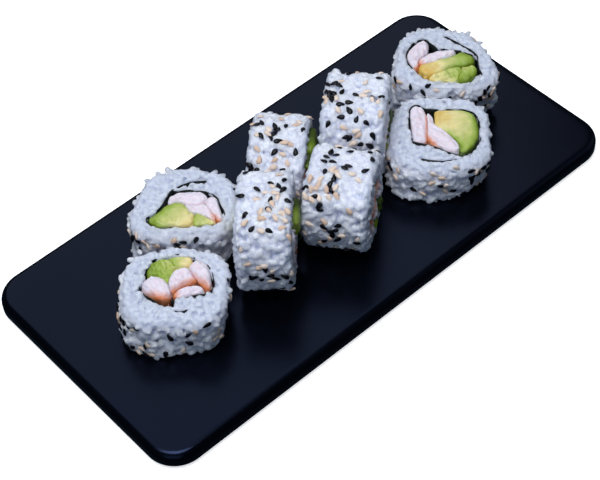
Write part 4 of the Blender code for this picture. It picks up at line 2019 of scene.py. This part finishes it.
@dataclass
class Studio:
    """Camera, floor and lights.

    Attributes:
        azimuth: the camera's angle round the plate, in degrees, as for a softbox.
        elevation: its angle over the plate.
        roll: its turn about its own view.
        distance: how far it stands from the place that it is aimed at.
        aim: that place.
        lens: its focal length, and clip the nearest and farthest that it sees.
        sky: colour of the light from all round, and sky_strength its strength.
        floor_half: half the floor's side.
        floor_gap: how far it lies under the plate.
        boxes: the softboxes.
    """

    azimuth: float = -39.01
    elevation: float = 49.81
    roll: float = -3.98
    distance: float = 0.651
    aim: tuple[float, float, float] = (-0.01247, -0.00943, 0.008)
    lens: float = 99.18
    clip: tuple[float, float] = (0.01, 20.0)
    sky: Colour = (0.38, 0.62, 1.0)
    sky_strength: float = 0.055
    floor_half: float = 3.0
    floor_gap: float = 0.0002
    boxes: tuple[Softbox, ...] = (
        Softbox("key_softbox", -78.0, 79.0, 1.1, 0.6, 10.5, (0.905, 0.945, 1.0)),
        Softbox("front_softbox", -52.0, 20.0, 1.1, 0.8, 1.55, (0.70, 0.83, 1.0)),
        Softbox("side_softbox", 62.0, 28.0, 1.1, 0.8, 0.6, (0.80, 0.89, 1.0)),
        Softbox("back_softbox", 155.0, 51.0, 1.1, 0.9, 2.7, (0.91, 0.95, 1.0)),
    )

    def build(self) -> None:
        """Set the camera, the world, the lights and the floor."""
        self.add_camera()
        scene = bpy.context.scene
        scene.world = bpy.data.worlds.new("studio")
        scene.world.use_nodes = True
        back = scene.world.node_tree.nodes["Background"]
        back.inputs["Color"].default_value = (*self.sky, 1.0)
        back.inputs["Strength"].default_value = self.sky_strength
        for box in self.boxes:
            box.build()
        scene.view_settings.view_transform = "Standard"
        self.add_floor()

    def add_camera(self) -> None:
        """Stand the camera at its angle on the plate, turned by its roll."""
        back = toward(self.azimuth, self.elevation)
        level = toward(self.azimuth + 90.0, 0.0)
        rise = back.cross(level)
        roll = math.radians(self.roll)
        right = math.cos(roll) * level + math.sin(roll) * rise
        up = math.cos(roll) * rise - math.sin(roll) * level
        data = bpy.data.cameras.new("camera")
        data.lens = self.lens
        data.clip_start, data.clip_end = self.clip
        camera = bpy.data.objects.new("camera", data)
        turned = Matrix((right, up, back)).transposed().to_4x4()
        camera.matrix_world = Matrix.Translation(Vector(self.aim) + back * self.distance) @ turned
        bpy.context.scene.collection.objects.link(camera)
        bpy.context.scene.camera = camera

    def add_floor(self) -> None:
        """Lay a plain white floor under the plate, which neither lights nor mirrors in it."""
        half, level = self.floor_half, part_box("plate")[0].z - self.floor_gap
        mesh = bpy.data.meshes.new("floor")
        mesh.from_pydata([(-half, -half, level), (half, -half, level), (half, half, level),
                          (-half, half, level)], [], [(0, 1, 2, 3)])
        mesh.materials.append(FloorFinish().material())
        floor = bpy.data.objects.new("floor", mesh)
        bpy.context.scene.collection.objects.link(floor)
        floor.visible_diffuse = False
        floor.visible_glossy = False


# ---------------------------------------------------------------------------- the dish


@dataclass
class Dish:
    """The plate with its eight slices."""

    studio: Studio = field(default_factory=Studio)
    plate: Plate = field(default_factory=Plate)
    slices: tuple[SliceSpec, ...] = SLICES

    def build(self) -> None:
        """Build everything in order."""
        rice = RiceFinish().material()
        nori = NoriFinish().material()
        flesh = {Kind.AVOCADO: AvocadoFinish().material(), Kind.PRAWN: PrawnFinish().material()}
        taken: list[Array] = []
        black = SeedFinish("black_sesame", (0.001, 0.001, 0.002), (0.005, 0.005, 0.009), 0.28)
        tan = SeedFinish("tan_sesame", (0.72, 0.50, 0.36), (0.93, 0.78, 0.66), 0.45)
        coats = (SesameCoat(black, Seed.BLACK_SESAME, 0, taken),
                 SesameCoat(tan, Seed.TAN_SESAME, 1, taken))
        self.studio.build()
        self.plate.build()
        for spec in self.slices:
            held = SliceFrame.of(spec)
            ring = RiceRing(held, rice)
            mass = ring.build()
            NoriSheet(held, ring, nori).build()
            for name, look in LOOKS[spec.design].items():
                kind = Kind(name.split("_")[0])
                Filling(held, f"{name}_{spec.number}", flesh[kind], kind, look).build()
            for coat, count in zip(coats, (spec.black_seeds, spec.tan_seeds)):
                coat.scatter(held, mass, count)
        for coat in coats:
            coat.build()


def main() -> None:
    """Build the dish and report on it."""
    logging.basicConfig(level=logging.INFO, format="%(name)s %(message)s")
    Dish().build()


if __name__ == "__main__":
    main()
